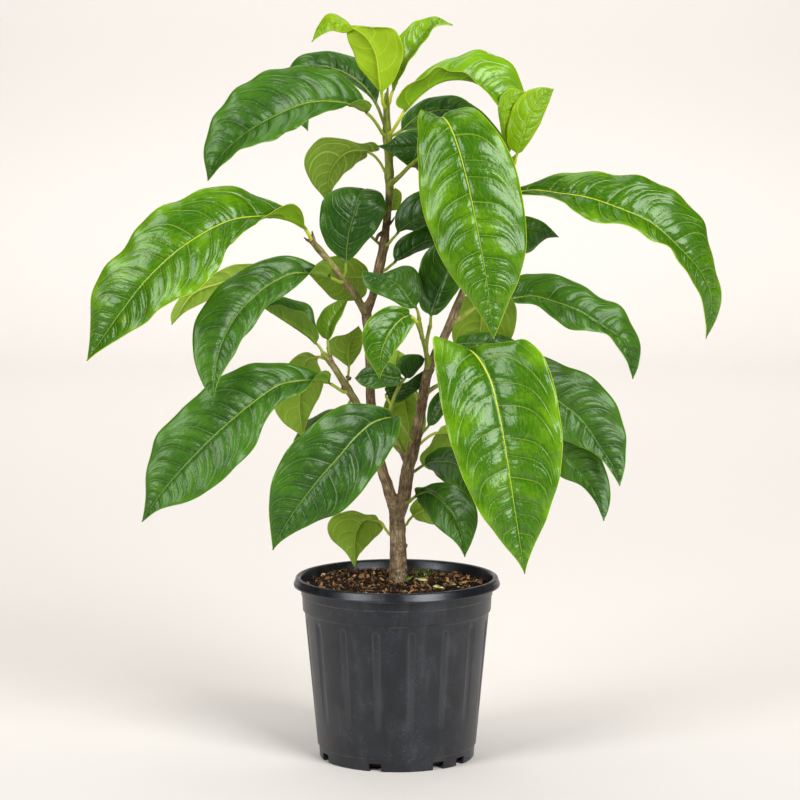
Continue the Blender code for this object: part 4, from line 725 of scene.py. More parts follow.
def veinPhase(along, share, half, length, pairs, side, tint, lean):
    # counts the lateral veins from the base
    near = min(share, veinShape["last"])
    bend = near * lean + veinShape["arch"] * near ** 5
    t = (along - half * bend) / length
    even = veinShape["even"]
    phase = pairs * (t * even + t ** 3 * (1 - even)) + (veinShape["shift"] if side > 0 else 0)
    return phase + veinShape["uneven"] * math.sin(phase * veinShape["unevenTurns"] + tint * 5)


def smoothed(vectors, reach=2):
    # each way as the mean of its neighbours' ways
    last = len(vectors) - 1
    return [sum((vectors[min(max(index + near, 0), last)] for near in range(-reach, reach + 1)),
                Vector()).normalized() for index in range(last + 1)]


def leafLines(leaf):
    # stalk, midrib and both margins
    seatBack = leaf["spine"][0][2]
    spine = finePath([place(across, up, seatBack + (back - seatBack) * leaf.get("reach", 1))
                      for across, up, back in leaf["spine"]])
    base = leaf["stalk"] * fineSteps
    length = pathLength(spine[base:]) / mm
    spacing = leaf.get("spacing", leafMake["veinSpacing"])
    pairs = max(leafMake["fewestPairs"], round(length / spacing))
    rows = pairs * leafMake["rowsPerPair"]
    shares = [index / rows for index in range(rows + 1)]
    midrib = spaced(spine[base:], shares)
    fold, crossing, swell = leaf.get("flap", noFlap)
    margins = []
    for side, offset in zip(("left", "right"), leaf["back"]):
        folded = fold if side == "left" else []
        flat = [Vector((*row[:2], 0)) for row in
                [leaf["spine"][leaf["stalk"]]] + folded + leaf[side] + [leaf["spine"][-1]]]
        fractions = shares
        if folded:
            # the folded margin crosses the midrib where the table says
            part = pathLength(flat[:len(folded) + 1]) / pathLength(flat)
            fractions = [share / crossing * part if share < crossing else
                         part + (share - crossing) / (1 - crossing) * (1 - part)
                         for share in shares]
        margins.append([])
        for point, middle, share in zip(smoothPath(flat, fractions), midrib, shares):
            bulge = math.sin(math.pi * share) ** 0.7 if 0 < share < 1 else 0
            back = offset * bulge
            if folded and share < 2 * crossing:
                beyond = smooth(1, 2, share / crossing)
                back = back * beyond - swell * math.sin(math.pi / 2 * share / crossing)
            margins[-1].append(place(point.x, point.y, middle.y / mm + back))
    return spine[:base + 1], midrib, margins[0], margins[1], length, pairs


def leafFrames(midrib, left, right):
    # the ways along, up and across at each row
    last = len(midrib) - 1
    alongs = smoothed([(midrib[min(i + 1, last)] - midrib[max(i - 1, 0)]).normalized()
                       for i in range(last + 1)], 1)
    ups = [None] * (last + 1)
    for i in range(last + 1):
        across = right[i] - left[i]
        if across.length > leafMake["narrow"] * mm:
            ups[i] = across.cross(alongs[i]).normalized()
    known = [i for i, up in enumerate(ups) if up]
    ups = [ups[min(known, key=lambda k: abs(k - i))] for i in range(last + 1)]
    ups = [(up - along * up.dot(along)).normalized() for up, along in zip(smoothed(ups), alongs)]
    return alongs, ups, [along.cross(up) for along, up in zip(alongs, ups)]


def leafColumns(half, ribHalf, steps):
    # shares of the half width: close together at the midrib
    first = min(leafMake["firstColumn"], ribHalf / half)
    second = first * leafMake["secondColumn"]
    return [first, second] + [second + (1 - second) * step / steps for step in range(1, steps + 1)]


def leafRelief(along, share, half, length, pairs, side, ribHalf, tint, lean, quilt):
    # height in mm of the upper face over the plain blade
    cell = veinPhase(along, share, half, length, pairs, side, tint, lean) % 1
    slope = lean + 5 * veinShape["arch"] * min(share, veinShape["last"]) ** 4
    spacing = min(length / pairs, leafMake["widestPillow"]) / math.sqrt(1 + slope * slope)
    crest = leafMake["pillowTop"]
    pillow = 1 - (abs(1 - cell / crest) if cell < crest else (cell - crest) / (1 - crest)) ** 2.4
    inner = smooth(0.0, 0.14, share) * (1 - smooth(0.78, 0.93, share))
    ends = smooth(0, 0.05, along / length) * (1 - smooth(0.9, 1, along / length))
    puff = quilt * spacing * (pillow - 0.6) * inner * ends
    fromRib = share * half / ribHalf
    channel = leafMake["channel"] * (1 - smooth(0.5, 4.5, fromRib)) * ends
    rib = leafMake["rib"] * (1 - smooth(0, 0.9, fromRib))
    drop = leafMake["marginDrop"] * smooth(0.84, 1, share) * min(1, half / 25)
    return puff - channel + rib - drop


def makeLeaf(name, leaf):
    draw = random.Random(name)
    tint = leaf.get("tint", draw.uniform(-1, 1))
    lean = leaf.get("lean", veinShape["lean"])
    stalkLine, midrib, left, right, length, pairs = leafLines(leaf)
    puffy = 0.4 if leaf["tone"] == "young" else 0.5 + smooth(50, 150, length) / 2
    quilt = leafMake["quilt"] * puffy
    last = len(midrib) - 1
    # rows whose left half is folded up
    turned = leaf.get("flap", noFlap)[1] * leafMake["foldRows"] * last
    unfolded = [middle * 2 - b if i < turned else a
                for i, (a, middle, b) in enumerate(zip(left, midrib, right))]
    alongs, ups, sides = leafFrames(midrib, unfolded, right)
    # small leaves have thinner stalks and midribs, and shorter waves
    stalkRadius = leafMake["stalk"] * (0.62 + 0.38 * min(1, length / 130))
    swing = {side: draw.uniform(0, leafMake["swing"]) for side in (-1, 1)}
    waveLength = leafMake["waveLength"] * draw.uniform(0.85, 1.2)
    waveLength *= 0.55 + 0.45 * min(1, length / 200)
    widest = max((b - a).length for a, b in zip(left, right)) / mm / 2
    steps = leafMake["columns"] - 2 + round(widest / leafMake["columnWidth"])
    # each row runs from the left margin over the midrib to the right margin
    grid, places, lifts, thicks = [], [], [], []
    for i, middle in enumerate(midrib):
        along = length * i / last
        ribHalf = leafMake["ribWidth"] * (1 - 0.8 * i / last) * (0.6 + 0.4 * min(1, length / 150))
        row, rowPlaces, rowLifts, rowThicks = [], [], [], []
        for side, margin in ((-1, left[i]), (1, right[i])):
            reach = margin - middle
            least = (leafMake["tipHalf"] if i > last / 2 else stalkRadius) * mm
            if reach.dot(sides[i]) * side < least and not (side < 0 < i < turned):
                reach = sides[i] * side * least
            half = reach.length / mm
            # rows lie aslant, so each point keeps its true place along the midrib
            aslant = reach.dot(alongs[i]) / mm
            if side < 0 and turned:
                aslant *= smooth(turned, turned * 1.6, i)
            wide = max(math.sqrt(max(half * half - aslant * aslant, 0)), half * 0.5)
            points = []
            for share in leafColumns(half, ribHalf, steps):
                bulge = math.sin(math.pi * share ** 0.8) * leafMake["cupping"] * half
                ends = math.sin(math.pi * i / last) ** 0.5 if 0 < i < last else 0
                wave = (share ** 3 * ends * leafMake["wave"] * min(1, half / 30)
                        * math.sin(fullTurn * along / waveLength + swing[side]))
                point = middle + reach * share + ups[i] * (bulge + wave) * mm
                run = max(along + aslant * share, min(along, 2))
                lift = leafRelief(run, share, wide, length, pairs, side, ribHalf, tint, lean, quilt)
                rough = noise.noise(point * leafMake["crumpleScale"])
                lift += rough * leafMake["crumple"] * smooth(0.05, 0.3, share)
                under = leafMake["ribUnder"] * (1 - i / last) + leafMake["underLeast"]
                under *= 1 - smooth(0.2, 2.4, share * half / ribHalf)
                thick = leafMake["thickness"] + (leafMake["edge"] - leafMake["thickness"]) * share
                points.append((point, (run, side * share, wide), lift, thick + under))
            if side < 0:
                points = points[::-1]
                lift = leafRelief(along, 0, wide, length, pairs, side, ribHalf, tint, lean, quilt)
                points.append((middle, (along, 0, wide), lift, leafMake["thickness"]
                               + leafMake["ribUnder"] * (1 - i / last) + leafMake["underLeast"]))
            for store, value in zip((row, rowPlaces, rowLifts, rowThicks), zip(*points)):
                store.extend(value)
        grid.append(row)
        places.append(rowPlaces)
        lifts.append(rowLifts)
        thicks.append(rowThicks)
    # rings of the stalk, then of the blade, each with an upper and a lower face
    points, spots = [], []
    width = len(grid[0])
    for ring, spot in stalkRings(leaf, stalkLine, sides[0], ups[0], stalkRadius, width):
        points += ring
        spots += [spot] * (2 * width)
    for i in range(last + 1):
        top, bottom = [], []
        for j in range(width):
            ahead = grid[min(i + 1, last)][j] - grid[max(i - 1, 0)][j]
            over = grid[i][min(j + 1, width - 1)] - grid[i][max(j - 1, 0)]
            normal = over.cross(ahead)
            if i < turned and j == width // 2:
                normal = sum(((grid[i][k] - grid[i][j]).normalized() for k in (j - 1, j + 1)),
                             ups[i] * 0.3)
            normal = normal.normalized() if normal.length > 1e-9 else ups[i]
            if normal.dot(ups[i]) < 0.2 and not (i < turned and j < width // 2):
                normal = ups[i]
            top.append(grid[i][j] + normal * lifts[i][j] * mm)
            bottom.append(top[-1] - normal * thicks[i][j] * mm)
        ring = top + bottom[::-1]
        blend = leafMake["growth"] * stalkRadius / leafMake["stalk"]
        grown = smooth(0, 1, i / last * length / blend)
        if grown < 1:
            centre = midrib[i] - ups[i] * leafMake["ribSink"] * mm * grown
            stem = roundRing(centre, sides[i], ups[i], stalkRadius * mm, width)
            ring = [a.lerp(b, grown) for a, b in zip(stem, ring)]
        points += ring
        spots += places[i] + places[i][::-1]
    rings = len(points) // (2 * width)
    # the last number is 1 on the upper face and 0 on the lower
    kinds = ([(length, pairs, 1.0)] * width + [(length, pairs, 0.0)] * width) * rings
    mesh = newMesh(name.replace("leaf", "leafBlade"), points, ringFaces(rings, 2 * width))
    storeOn(mesh, "leafSpot", spots)
    storeOn(mesh, "leafKind", kinds)
    storeOn(mesh, "leafTint", [tint] * len(points), "FLOAT")
    storeOn(mesh, "leafLean", [lean] * len(points), "FLOAT")
    return dress(mesh.name, mesh, leaf["tone"] + "_leaf", [name], [leafMaterials[leaf["tone"]]])


def ringFaces(rings, around):
    # closes a run of rings of points into a solid
    faces = [list(range(around))[::-1], list(range(around * (rings - 1), around * rings))]
    for start in range(0, around * (rings - 1), around):
        for k in range(around):
            near = (k + 1) % around
            faces.append((start + k, start + near, start + around + near, start + around + k))
    return faces


def roundRing(centre, side, up, radius, width):
    # a round ring with as many points as a row of the blade
    ring = []
    for k in range(2 * width):
        angle = math.pi * (1 - (k + 0.5) / width)
        ring.append(centre + (side * math.cos(angle) + up * math.sin(angle)) * radius)
    return ring


def stalkRings(leaf, stalk, side, up, radius, width):
    # rings from inside the stem up to the blade, as (points, leaf place)
    clear = leafMake["clear"] * mm
    beyond = max(min(range(len(stalk)), key=lambda i: abs((stalk[i] - stalk[0]).length - clear)), 1)
    centre, normal, distance = leafFoot(leaf["stem"], stalk[beyond], stalk[0])
    towards = (stalk[beyond] - centre).normalized()
    seat = centre + towards * distance / max(towards.dot(normal), 0.4)
    sunk = leafMake["sunk"] * mm
    onward = [point for point in stalk[beyond:] if (point - centre).dot(normal) > distance + sunk]
    onward = onward[:-2:4] + [stalk[-1]]
    line = finePath([seat - towards * sunk, seat] + onward)
    total = pathLength(line) / mm
    count = max(4, round(total / leafMake["ringSpacing"]))
    spots = spaced(line, [index / count for index in range(count + 1)])[:-1]
    rings = []
    for index in reversed(range(count)):
        ahead = spots[index + 1] if index + 1 < count else stalk[-1]
        along = (ahead - spots[index]).normalized()
        side = (side - along * side.dot(along)).normalized()
        up = side.cross(along).normalized()
        gone = total * index / count
        flare = (leafMake["foot"] - leafMake["stalk"]) * math.exp(-gone / leafMake["footFade"])
        wide = radius + flare
        rings.insert(0, (roundRing(spots[index], side, up, wide * mm, width),
                         (gone - total, 0.0, wide)))
    return rings


# Each tone's glow is painted light: an emission that stands for light coming through the blade.
leafColours = {
    "young": {"deep": (0.14, 0.278, 0.002), "light": (0.248, 0.398, 0.003),
              "vein": (0.34, 0.46, 0.02), "rib": (0.42, 0.52, 0.02),
              "edge": (0.36, 0.47, 0.01), "under": (0.19, 0.30, 0.004),
              "gloss": 0.27, "shine": 0.30, "paintedGlow": 0.12},
    "bright": {"deep": (0.030, 0.112, 0.001), "light": (0.145, 0.320, 0.002),
               "vein": (0.27, 0.42, 0.02), "rib": (0.52, 0.57, 0.03),
               "edge": (0.42, 0.55, 0.03), "under": (0.115, 0.21, 0.003),
               "gloss": 0.21, "shine": 0.50, "paintedGlow": 0.07},
    "dark": {"deep": (0.012, 0.050, 0.004), "light": (0.046, 0.138, 0.006),
             "vein": (0.11, 0.24, 0.025), "rib": (0.24, 0.32, 0.03),
             "edge": (0.15, 0.27, 0.02), "under": (0.15, 0.245, 0.020),
             "gloss": 0.28, "shine": 0.37, "paintedGlow": 0.06},
    "pale": {"deep": (0.14, 0.26, 0.02), "light": (0.22, 0.37, 0.04),
             "vein": (0.34, 0.44, 0.07), "rib": (0.42, 0.46, 0.07),
             "edge": (0.34, 0.44, 0.05), "under": (0.17, 0.275, 0.020),
             "gloss": 0.38, "shine": 0.35, "paintedGlow": 0.10},
}
# Colours and sheen that all tones share.
leafSkin = {"fresh": (0.20, 0.36, 0.004), "dull": (0.085, 0.150, 0.006),
            "through": (0.9, 1.0, 0.25),    # tint of the painted glow that stands for light coming through the blade
            "sheen": (0.88, 1.0, 0.82), "underRough": 0.6, "underShine": 0.2, "bend": 1.5}


def leafMaterial(tone, colours):
    material, g = newMaterial(tone + "Leaf")
    along, across, half = g.split(g.stored("leafSpot"))
    length, pairs, upper = g.split(g.stored("leafKind"))
    tint, lean = g.stored("leafTint", 2), g.stored("leafLean", 2)
    spot = g.spot()
    share = abs(across)
    blade = g.ease(along, -0.5, 1.5)
    # the same count of veins as in the mesh
    near = share.low(veinShape["last"])
    steep = near * near * near * near
    t = (along - half * near * (steep * veinShape["arch"] + lean)) / length
    even = veinShape["even"]
    phase = pairs * (t * even + t * t * t * (1 - even)) + (across > 0) * veinShape["shift"]
    phase = phase + (phase * veinShape["unevenTurns"] + tint * 5).sine() * veinShape["uneven"]
    spacing = length / pairs
    slope = steep * (5 * veinShape["arch"]) + lean
    apart = spacing * 0.9 / (slope * slope + 1) ** 0.5
    fromVein = (0.5 - abs(phase.part() - 0.5)) * apart
    reachOut = g.fade(share, 0.80, 0.93)
    vein = g.fade(fromVein, 0.08, 0.56) * reachOut * g.ease(share * half, 0.3, 1.2)
    minor = abs((phase + 0.5).part() - 0.5) * apart
    minor = g.fade(minor, 0.08, 0.45) * g.fade(share, 0.35, 0.6)
    ribHalf = (1 - along / length * 0.85) * (0.22 + (length / 200).low(1) * 0.46)
    rib = g.fade(share * half, ribHalf * 0.6, ribHalf * 1.15)
    edge = g.fade((1 - share) * half, 0.30, 0.85)
    # the ladder of cross veins between two lateral veins, as (mm out, mm along, side)
    wander = g.rough(spot, 34, 3)
    out, onward = share * half + wander * 9, phase * spacing + wander * 5
    places = g.join(out * 0.27, onward * 0.10, across > 0)
    puffs, crossing = g.cells(places, 1.0), g.cells(places, 1.0, "DISTANCE_TO_EDGE")
    folds = g.cells(g.join(out * 0.05, onward * 0.17, across > 0), 1.0)
    folded = g.fade(share, 0.5, 0.85)
    crossLine = g.fade(crossing, 0.0, 0.07)
    net = g.cells(spot, 480)
    cloud = g.rough(spot, 26, 3)
    fleck = g.rough(spot, 300, 3)
    # painted shade: the troughs beside each lateral vein are darkened, where the pillows shade them
    paintedTroughShade = g.fade(fromVein, 0.2, 3.2) * g.fade(share, 0.7, 0.95)
    lightness = (cloud + tint.low(1) * 0.15 + (fleck - 0.5) * 0.18 + share * share * 0.24
                 - paintedTroughShade * 0.14)
    top = g.mix(g.ease(lightness, 0.28, 0.88), colours["deep"], colours["light"])
    big = g.ease(length, 60, 160)
    top = g.mix(g.ease(tint, 1.0, 2.0) * 0.7, top, leafSkin["fresh"])
    top = g.mix(paintedTroughShade * 0.25, top, tuple(part * 0.5 for part in colours["deep"]))
    top = g.mix(crossLine * 0.17 * blade, top, colours["vein"])
    top = g.mix(minor * 0.14, top, colours["vein"])
    top = g.mix(vein * (big * 0.18 + 0.18), top, colours["vein"])
    under = g.mix(g.ease(cloud, 0.3, 0.7) * 0.5, colours["under"], colours["light"])
    under = g.mix(g.ease(tint, -1.0, -2.0) * 0.7, under, leafSkin["dull"])
    under = g.mix((vein * 0.6).high(crossLine * 0.2), under, colours["vein"])
    colour = g.mix(upper, under, top)
    colour = g.mix(edge * (big * 0.45 + 0.4) * blade, colour, colours["edge"])
    ribColour = g.mix(g.ease(along / length, 0.1, 0.9), colours["rib"], colours["vein"])
    colour = g.mix((rib * (big * 0.4 + 0.6)).high(1 - blade), colour, ribColour)
    puffed = g.ease(g.rough(spot, 60, 2), 0.25, 0.6)
    lifted = (puffs * puffs * puffed * -0.20 - folds * folds * folded * 0.95
              - net * net * 0.08 - vein * 0.16 - minor * 0.10 + fleck * 0.03 + rib * 0.2)
    height = lifted * (upper * 1.5 - 0.5) * blade
    normal = g.bump(height, 1.0)
    # painted light: the emission makes the blade glow a little, standing for light that comes through
    # it
    shared = {"Base_Color": colour, "Normal": normal, "IOR": leafSkin["bend"],
              "Emission_Color": g.mix(1.0, colour, leafSkin["through"], "MULTIPLY"),
              "Emission_Strength": colours["paintedGlow"]}
    above = g.shader(Roughness=colours["gloss"] + fleck * 0.04 + rib * 0.08, **shared,
                     Specular_IOR_Level=colours["shine"], Specular_Tint=leafSkin["sheen"])
    below = g.shader(Roughness=leafSkin["underRough"], **shared,
                     Specular_IOR_Level=leafSkin["underShine"])
    both = g.node("ShaderNodeMixShader", {}, {0: upper, 1: below, 2: above})
    g.node("ShaderNodeOutputMaterial", {}, {0: both})
    return material


leafMaterials = {tone: leafMaterial(tone, colours) for tone, colours in leafColours.items()}
stemLines = {name: stemLine(name) for name in stems}
for name, leaf in leaves.items():
    makeLeaf(name, leaf)
print("leaves made:", len(leaves))

# Stubs, buds and leaf scars on the stems: the same four numbers as for the stems.
spurs = {
    "leaderStub": [(-14, 523, 3, 4), (-19, 519, 2, 3.6), (-20.5, 514, 1, 2.6)],
    "leaderBud": [(-10, 529, 2, 4), (-6, 532, 0, 3), (-1.5, 539, -2, 1.4)],
    "deadTwig": [(10, 290, -6, 5.4), (5, 301, -7, 4.6), (-0.5, 312, -8, 3.6)],
    "lowerKnob": [(-46, 376, -8, 4.4), (-49, 377.5, -9, 3.8), (-51, 379, -9, 2.6)],
    "forkBud": [(-63, 389, -15, 4.2), (-64.5, 395, -17, 2.8), (-66, 400, -18, 1.6)],
    "dryBudRight": [(-82, 511, -13, 4.4), (-84, 520, -15, 2.8), (-85, 525, -16, 1.2)],
    "dryBudLeft": [(-85, 514, -14, 4), (-90, 515, -15, 2.6), (-93, 518, -16, 1.2)],
    "trunkKnobRight": [(6, 210, -2, 5), (10.6, 209, -3, 4.2)],
    "trunkKnobLeft": [(-6, 250, -3, 5), (-9.6, 249, -3, 3.6)],
    "leaderKnob": [(-31, 441, 4, 5), (-35, 441, 3, 4)],
    "rightKnob": [(30, 384, -14, 5), (35, 384, -15, 4.4)],
    "topBud": [(-10, 658, 0, 4), (-9, 665, -1, 2.4), (-8.5, 670, -2, 1)],
    "rightBud": [(115.5, 595, -6, 3.6), (119, 600, -8, 2.2), (121, 603, -9, 1)],
    "midScar": [(-51.5, 366, -12, 6), (-55, 366, -14, 5)],
}

woodMake = {"voxel": 0.8, "ease": 0.5, "easeTurns": 4, "tubeSides": 20,
            "collar": 0.32, "collarLength": 8, "nodeSwell": 0.7, "nodeReach": 5,
            "furrow": 0.35, "furrowScale": 0.62, "grainPull": 0.16,     # grain runs along a stem
            "lump": 0.55, "lumpScale": 110,
            "slender": 3, "thick": 4,           # radii under which nodes and lumps are smaller
            "oldFrom": 2.6, "oldTo": 5.2,       # radii between which the bark ages
            "spurGirth": 5.5, "budGirth": 2.2, "buds": ("topBud", "rightBud")}


def addTube(work, line, sides):
    # a closed tube along rows of place and radius
    rings, last = [], len(line) - 1
    side = Vector((0, 1, 0))
    for index, row in enumerate(line):
        ahead, behind = line[min(index + 1, last)], line[max(index - 1, 0)]
        along = (Vector(ahead[:3]) - Vector(behind[:3])).normalized()
        side = (side - along * side.dot(along)).normalized()
        up = along.cross(side)
        rings.append([work.verts.new(Vector(row[:3]) + (side * math.cos(k * 2 * math.pi / sides)
                      + up * math.sin(k * 2 * math.pi / sides)) * row[3]) for k in range(sides)])
    for first, second in zip(rings, rings[1:]):
        for k in range(sides):
            near = (k + 1) % sides
            work.faces.new((first[k], first[near], second[near], second[k]))
    work.faces.new(rings[0][::-1])
    work.faces.new(rings[-1])


def makeWood():
    # all stems and spurs as tubes, grown together by a remesh, then given their bark
    lines = dict(stemLines)
    for name, rows in spurs.items():
        lines[name] = smoothPath([stemRow(row) for row in rows], [step / 6 for step in range(7)])
    work = bmesh.new()
    for name, line in lines.items():
        tube = [row.copy() for row in line]
        gone = 0
        if name not in ("trunk", "leader", "right") and name not in spurs:
            for index, row in enumerate(tube):
                gone += (row - tube[max(index - 1, 0)]).length / mm
                row[3] *= 1 + woodMake["collar"] * math.exp(-gone / woodMake["collarLength"])
        addTube(work, tube, woodMake["tubeSides"])
    item = newObject("stems", workMesh(work, "stems"))
    remesh = item.modifiers.new("grow", "REMESH")
    remesh.mode, remesh.voxel_size = "VOXEL", woodMake["voxel"] * mm
    ease = item.modifiers.new("ease", "SMOOTH")
    ease.factor, ease.iterations = woodMake["ease"], woodMake["easeTurns"]
    mesh = plainMesh(item)
    samples = [(Vector(a[:3]), (Vector(b[:3]) - Vector(a[:3])).normalized(), a[3] / mm, name)
               for name, line in lines.items() for a, b in zip(line, line[1:])]
    tree = searchTree([sample[0] for sample in samples])
    ways = {name: (Vector(line[-1][:3]) - Vector(line[0][:3])).normalized()
            for name, line in lines.items()}
    seats = [leafFoot(leaf["stem"], place(*leaf["spine"][1]), place(*leaf["spine"][0]))
             for leaf in leaves.values()]
    nodes = searchTree([centre + out * distance for centre, out, distance in seats])
    grains, girths = [], []
    normals = [vertex.normal.copy() for vertex in mesh.vertices]
    for vertex, normal in zip(mesh.vertices, normals):
        _, index, _ = tree.find(vertex.co)
        centre, along, radius, name = samples[index]
        offset = vertex.co - centre
        run = offset.dot(along)
        offset -= along * run
        way = ways[name]
        gone = (vertex.co - Vector(lines[name][0][:3])).dot(way) / mm
        grain = offset / mm + way * (gone * woodMake["grainPull"])
        old = smooth(woodMake["oldFrom"], woodMake["oldTo"], radius)
        furrow = noise.noise(grain * woodMake["furrowScale"])
        lump = noise.noise(vertex.co * woodMake["lumpScale"])
        lift = furrow * woodMake["furrow"] * (0.25 + 0.75 * old)
        lift += lump * woodMake["lump"] * (0.3 + 0.7 * old) * min(1, radius / woodMake["thick"])
        _, _, away = nodes.find(vertex.co)
        lift += (woodMake["nodeSwell"] * math.exp(-(away / mm / woodMake["nodeReach"]) ** 2)
                 * min(1, radius / woodMake["slender"]))
        vertex.co += normal * lift * mm
        grains.append(grain)
        if name in spurs:
            radius = woodMake["budGirth"] if name in woodMake["buds"] else woodMake["spurGirth"]
        girths.append(radius)
    mesh.shade_smooth()
    storeOn(mesh, "barkGrain", grains)
    storeOn(mesh, "barkGirth", girths, "FLOAT")
    return dress("woodStems", mesh, "bark", ["wood"], [barkMaterial()])


barkColours = {
    "old": [(0.30, (0.032, 0.019, 0.008)), (0.42, (0.096, 0.061, 0.028)),
            (0.54, (0.24, 0.165, 0.086)), (0.68, (0.60, 0.46, 0.29))],
    "youngLow": (0.16, 0.205, 0.020), "youngHigh": (0.31, 0.37, 0.050),
    "crust": (0.52, 0.46, 0.38), "pore": (0.030, 0.017, 0.010),
}


def barkMaterial():
    material, g = newMaterial("barkSkin")
    grain, spot = g.stored("barkGrain"), g.spot()
    girth = g.stored("barkGirth", 2)
    height = g.split(spot)[2]
    streak = g.rough(grain, 0.75, 5, 0.62)
    patch = g.rough(spot, 70, 4, 0.6)
    fine = g.rough(grain, 2.6, 4, 0.7)
    # thick stems have brown bark, thin ones and the top are green
    old = g.ease(girth + (patch - 0.5) * 2.2, 2.1, 4.4)
    old = old * g.fade(height + (patch - 0.5) * 0.05, 0.545, 0.60)
    bark = g.ramp(streak * 0.55 + patch * 0.45, barkColours["old"])
    young = g.mix(g.ease(streak, 0.35, 0.65), barkColours["youngLow"], barkColours["youngHigh"])
    colour = g.mix(old, young, bark)
    # pale crust towards the foot, dark pores and cracks
    crust = g.ease(g.rough(spot, 240, 3), 0.56, 0.68) * g.fade(height, 0.19, 0.30) * 0.55
    colour = g.mix(crust, colour, barkColours["crust"])
    pores = g.cells(g.stretched(grain, (1.1, 1.1, 2.2)), 0.42)
    pore = g.fade(pores, 0.10, 0.24) * old
    crack = g.ease(fine, 0.57, 0.72) * old
    colour = g.mix((pore * 0.8).high(crack * 0.7), colour, barkColours["pore"])
    lifted = streak * 1.3 + fine * 0.7 - pore * 0.6 + crust * 0.3
    g.surface(Base_Color=colour, Roughness=0.62 + old * 0.22, Normal=g.bump(lifted, 0.75, 0.6 * mm),
              IOR=1.45, Specular_IOR_Level=0.35)
    return material


makeWood()
print("wood made")

potMake = {
    "turns": 400, "height": 183.7, "lip": 103.9, "lipBottom": 174.8, "lipInner": 97.2, "neck": 96.6,
    "upperStep": 165, "lowerStep": 149.2, "bodyTop": 92.8, "bodyFoot": 80.1, "foot": 13, "base": 77,
    "wall": 2.2, "floor": 2.6,
    "bodyRows": 36,             # rows of points down the fluted wall
    "skin": 1, "clear": 3,      # how far flutes stay off the inner wall, the step and the foot
    "sharp": 38,                # degrees
    "dusty": (148.9, 165, 13, 174.6),   # heights of the lines that hold dust
}
fluteSizes = {"Flutes": 16, "First angle": 9.5 - 90, "Depth": 1.5, "Half width": 4.8,
              "Top": 143.5, "Bottom": 40}
drainMake = {"angles": (-66, -16, 32, 54, 104, 154, 204, 248), "width": 12.5, "height": 8.2,
             "inner": 58, "beyond": 6, "bevel": 1.0, "bevelSteps": 3}
# The flute colours are painted light: shade darkens the flutes and a highlight lightens their flanks.
potColours = {"low": (0.0022, 0.0026, 0.0044), "high": (0.0100, 0.0108, 0.0148),
              "dust": (0.07, 0.068, 0.070), "groove": (0.002, 0.0024, 0.004),
              "paintedGrooveSheen": (0.06, 0.06, 0.066), "line": (0.10, 0.082, 0.065),
              "speck": (0.25, 0.25, 0.27), "sheen": (0.90, 0.94, 1.0)}


def rounded(corners):
    # a profile whose corners (radius, height, rounding) are eased
    points = []
    for index, (x, z, ease) in enumerate(corners):
        here = Vector((x, z))
        if not ease or index in (0, len(corners) - 1):
            points.append(here)
            continue
        before, after = Vector(corners[index - 1][:2]), Vector(corners[index + 1][:2])
        a = here + (before - here).normalized() * min(ease, (before - here).length * 0.48)
        b = here + (after - here).normalized() * min(ease, (after - here).length * 0.48)
        for step in range(5):
            t = step / 4
            points.append(a.lerp(here, t).lerp(here.lerp(b, t), t))
    return points


def potProfile():
    # from the middle of the floor up the inside, over the lip and down the outside
    p = potMake
    wall = p["wall"]
    return rounded([
        (0, p["floor"], 0), (p["base"] - wall - 0.5, p["floor"], 2),
        (p["bodyFoot"] - wall, p["foot"] + 2, 2),
        (p["bodyTop"] - wall, p["lowerStep"], 1), (p["bodyTop"] - 0.3, p["lowerStep"] + 2.5, 1),
        (p["neck"] - wall - 0.9, p["upperStep"], 1), (p["neck"] - wall, p["upperStep"] + 2, 1),
        (p["neck"] - wall + 0.4, p["lipBottom"], 3), (p["lipInner"], p["height"], 2.6),
        (p["lip"] - 2.4, p["height"], 1.8), (p["lip"] - 1.1, p["lipBottom"] + 4.2, 1.5),
        (p["lip"] - 0.1, p["lipBottom"] + 2.2, 0.8), (p["lip"], p["lipBottom"] + 0.2, 0.7),
        (p["lip"] - 1.1, p["lipBottom"] - 0.2, 0.5), (p["neck"] + 0.7, p["lipBottom"] + 0.3, 0.5),
        (p["neck"], p["lipBottom"] - 1.4, 0.8), (p["neck"] - 0.3, p["upperStep"] + 0.7, 0.7),
        (p["neck"] - 1.1, p["upperStep"] - 0.4, 0.6), (p["bodyTop"] + 1.9, p["lowerStep"] + 0.9, 0.8),
        (p["bodyTop"], p["lowerStep"] - 0.6, 0.7), (p["bodyFoot"], p["foot"] + 0.7, 0.6),
        (p["bodyFoot"] - 1.4, p["foot"] - 0.6, 0.6), (p["base"] + 0.9, 0, 1.6), (0, 0, 0)])


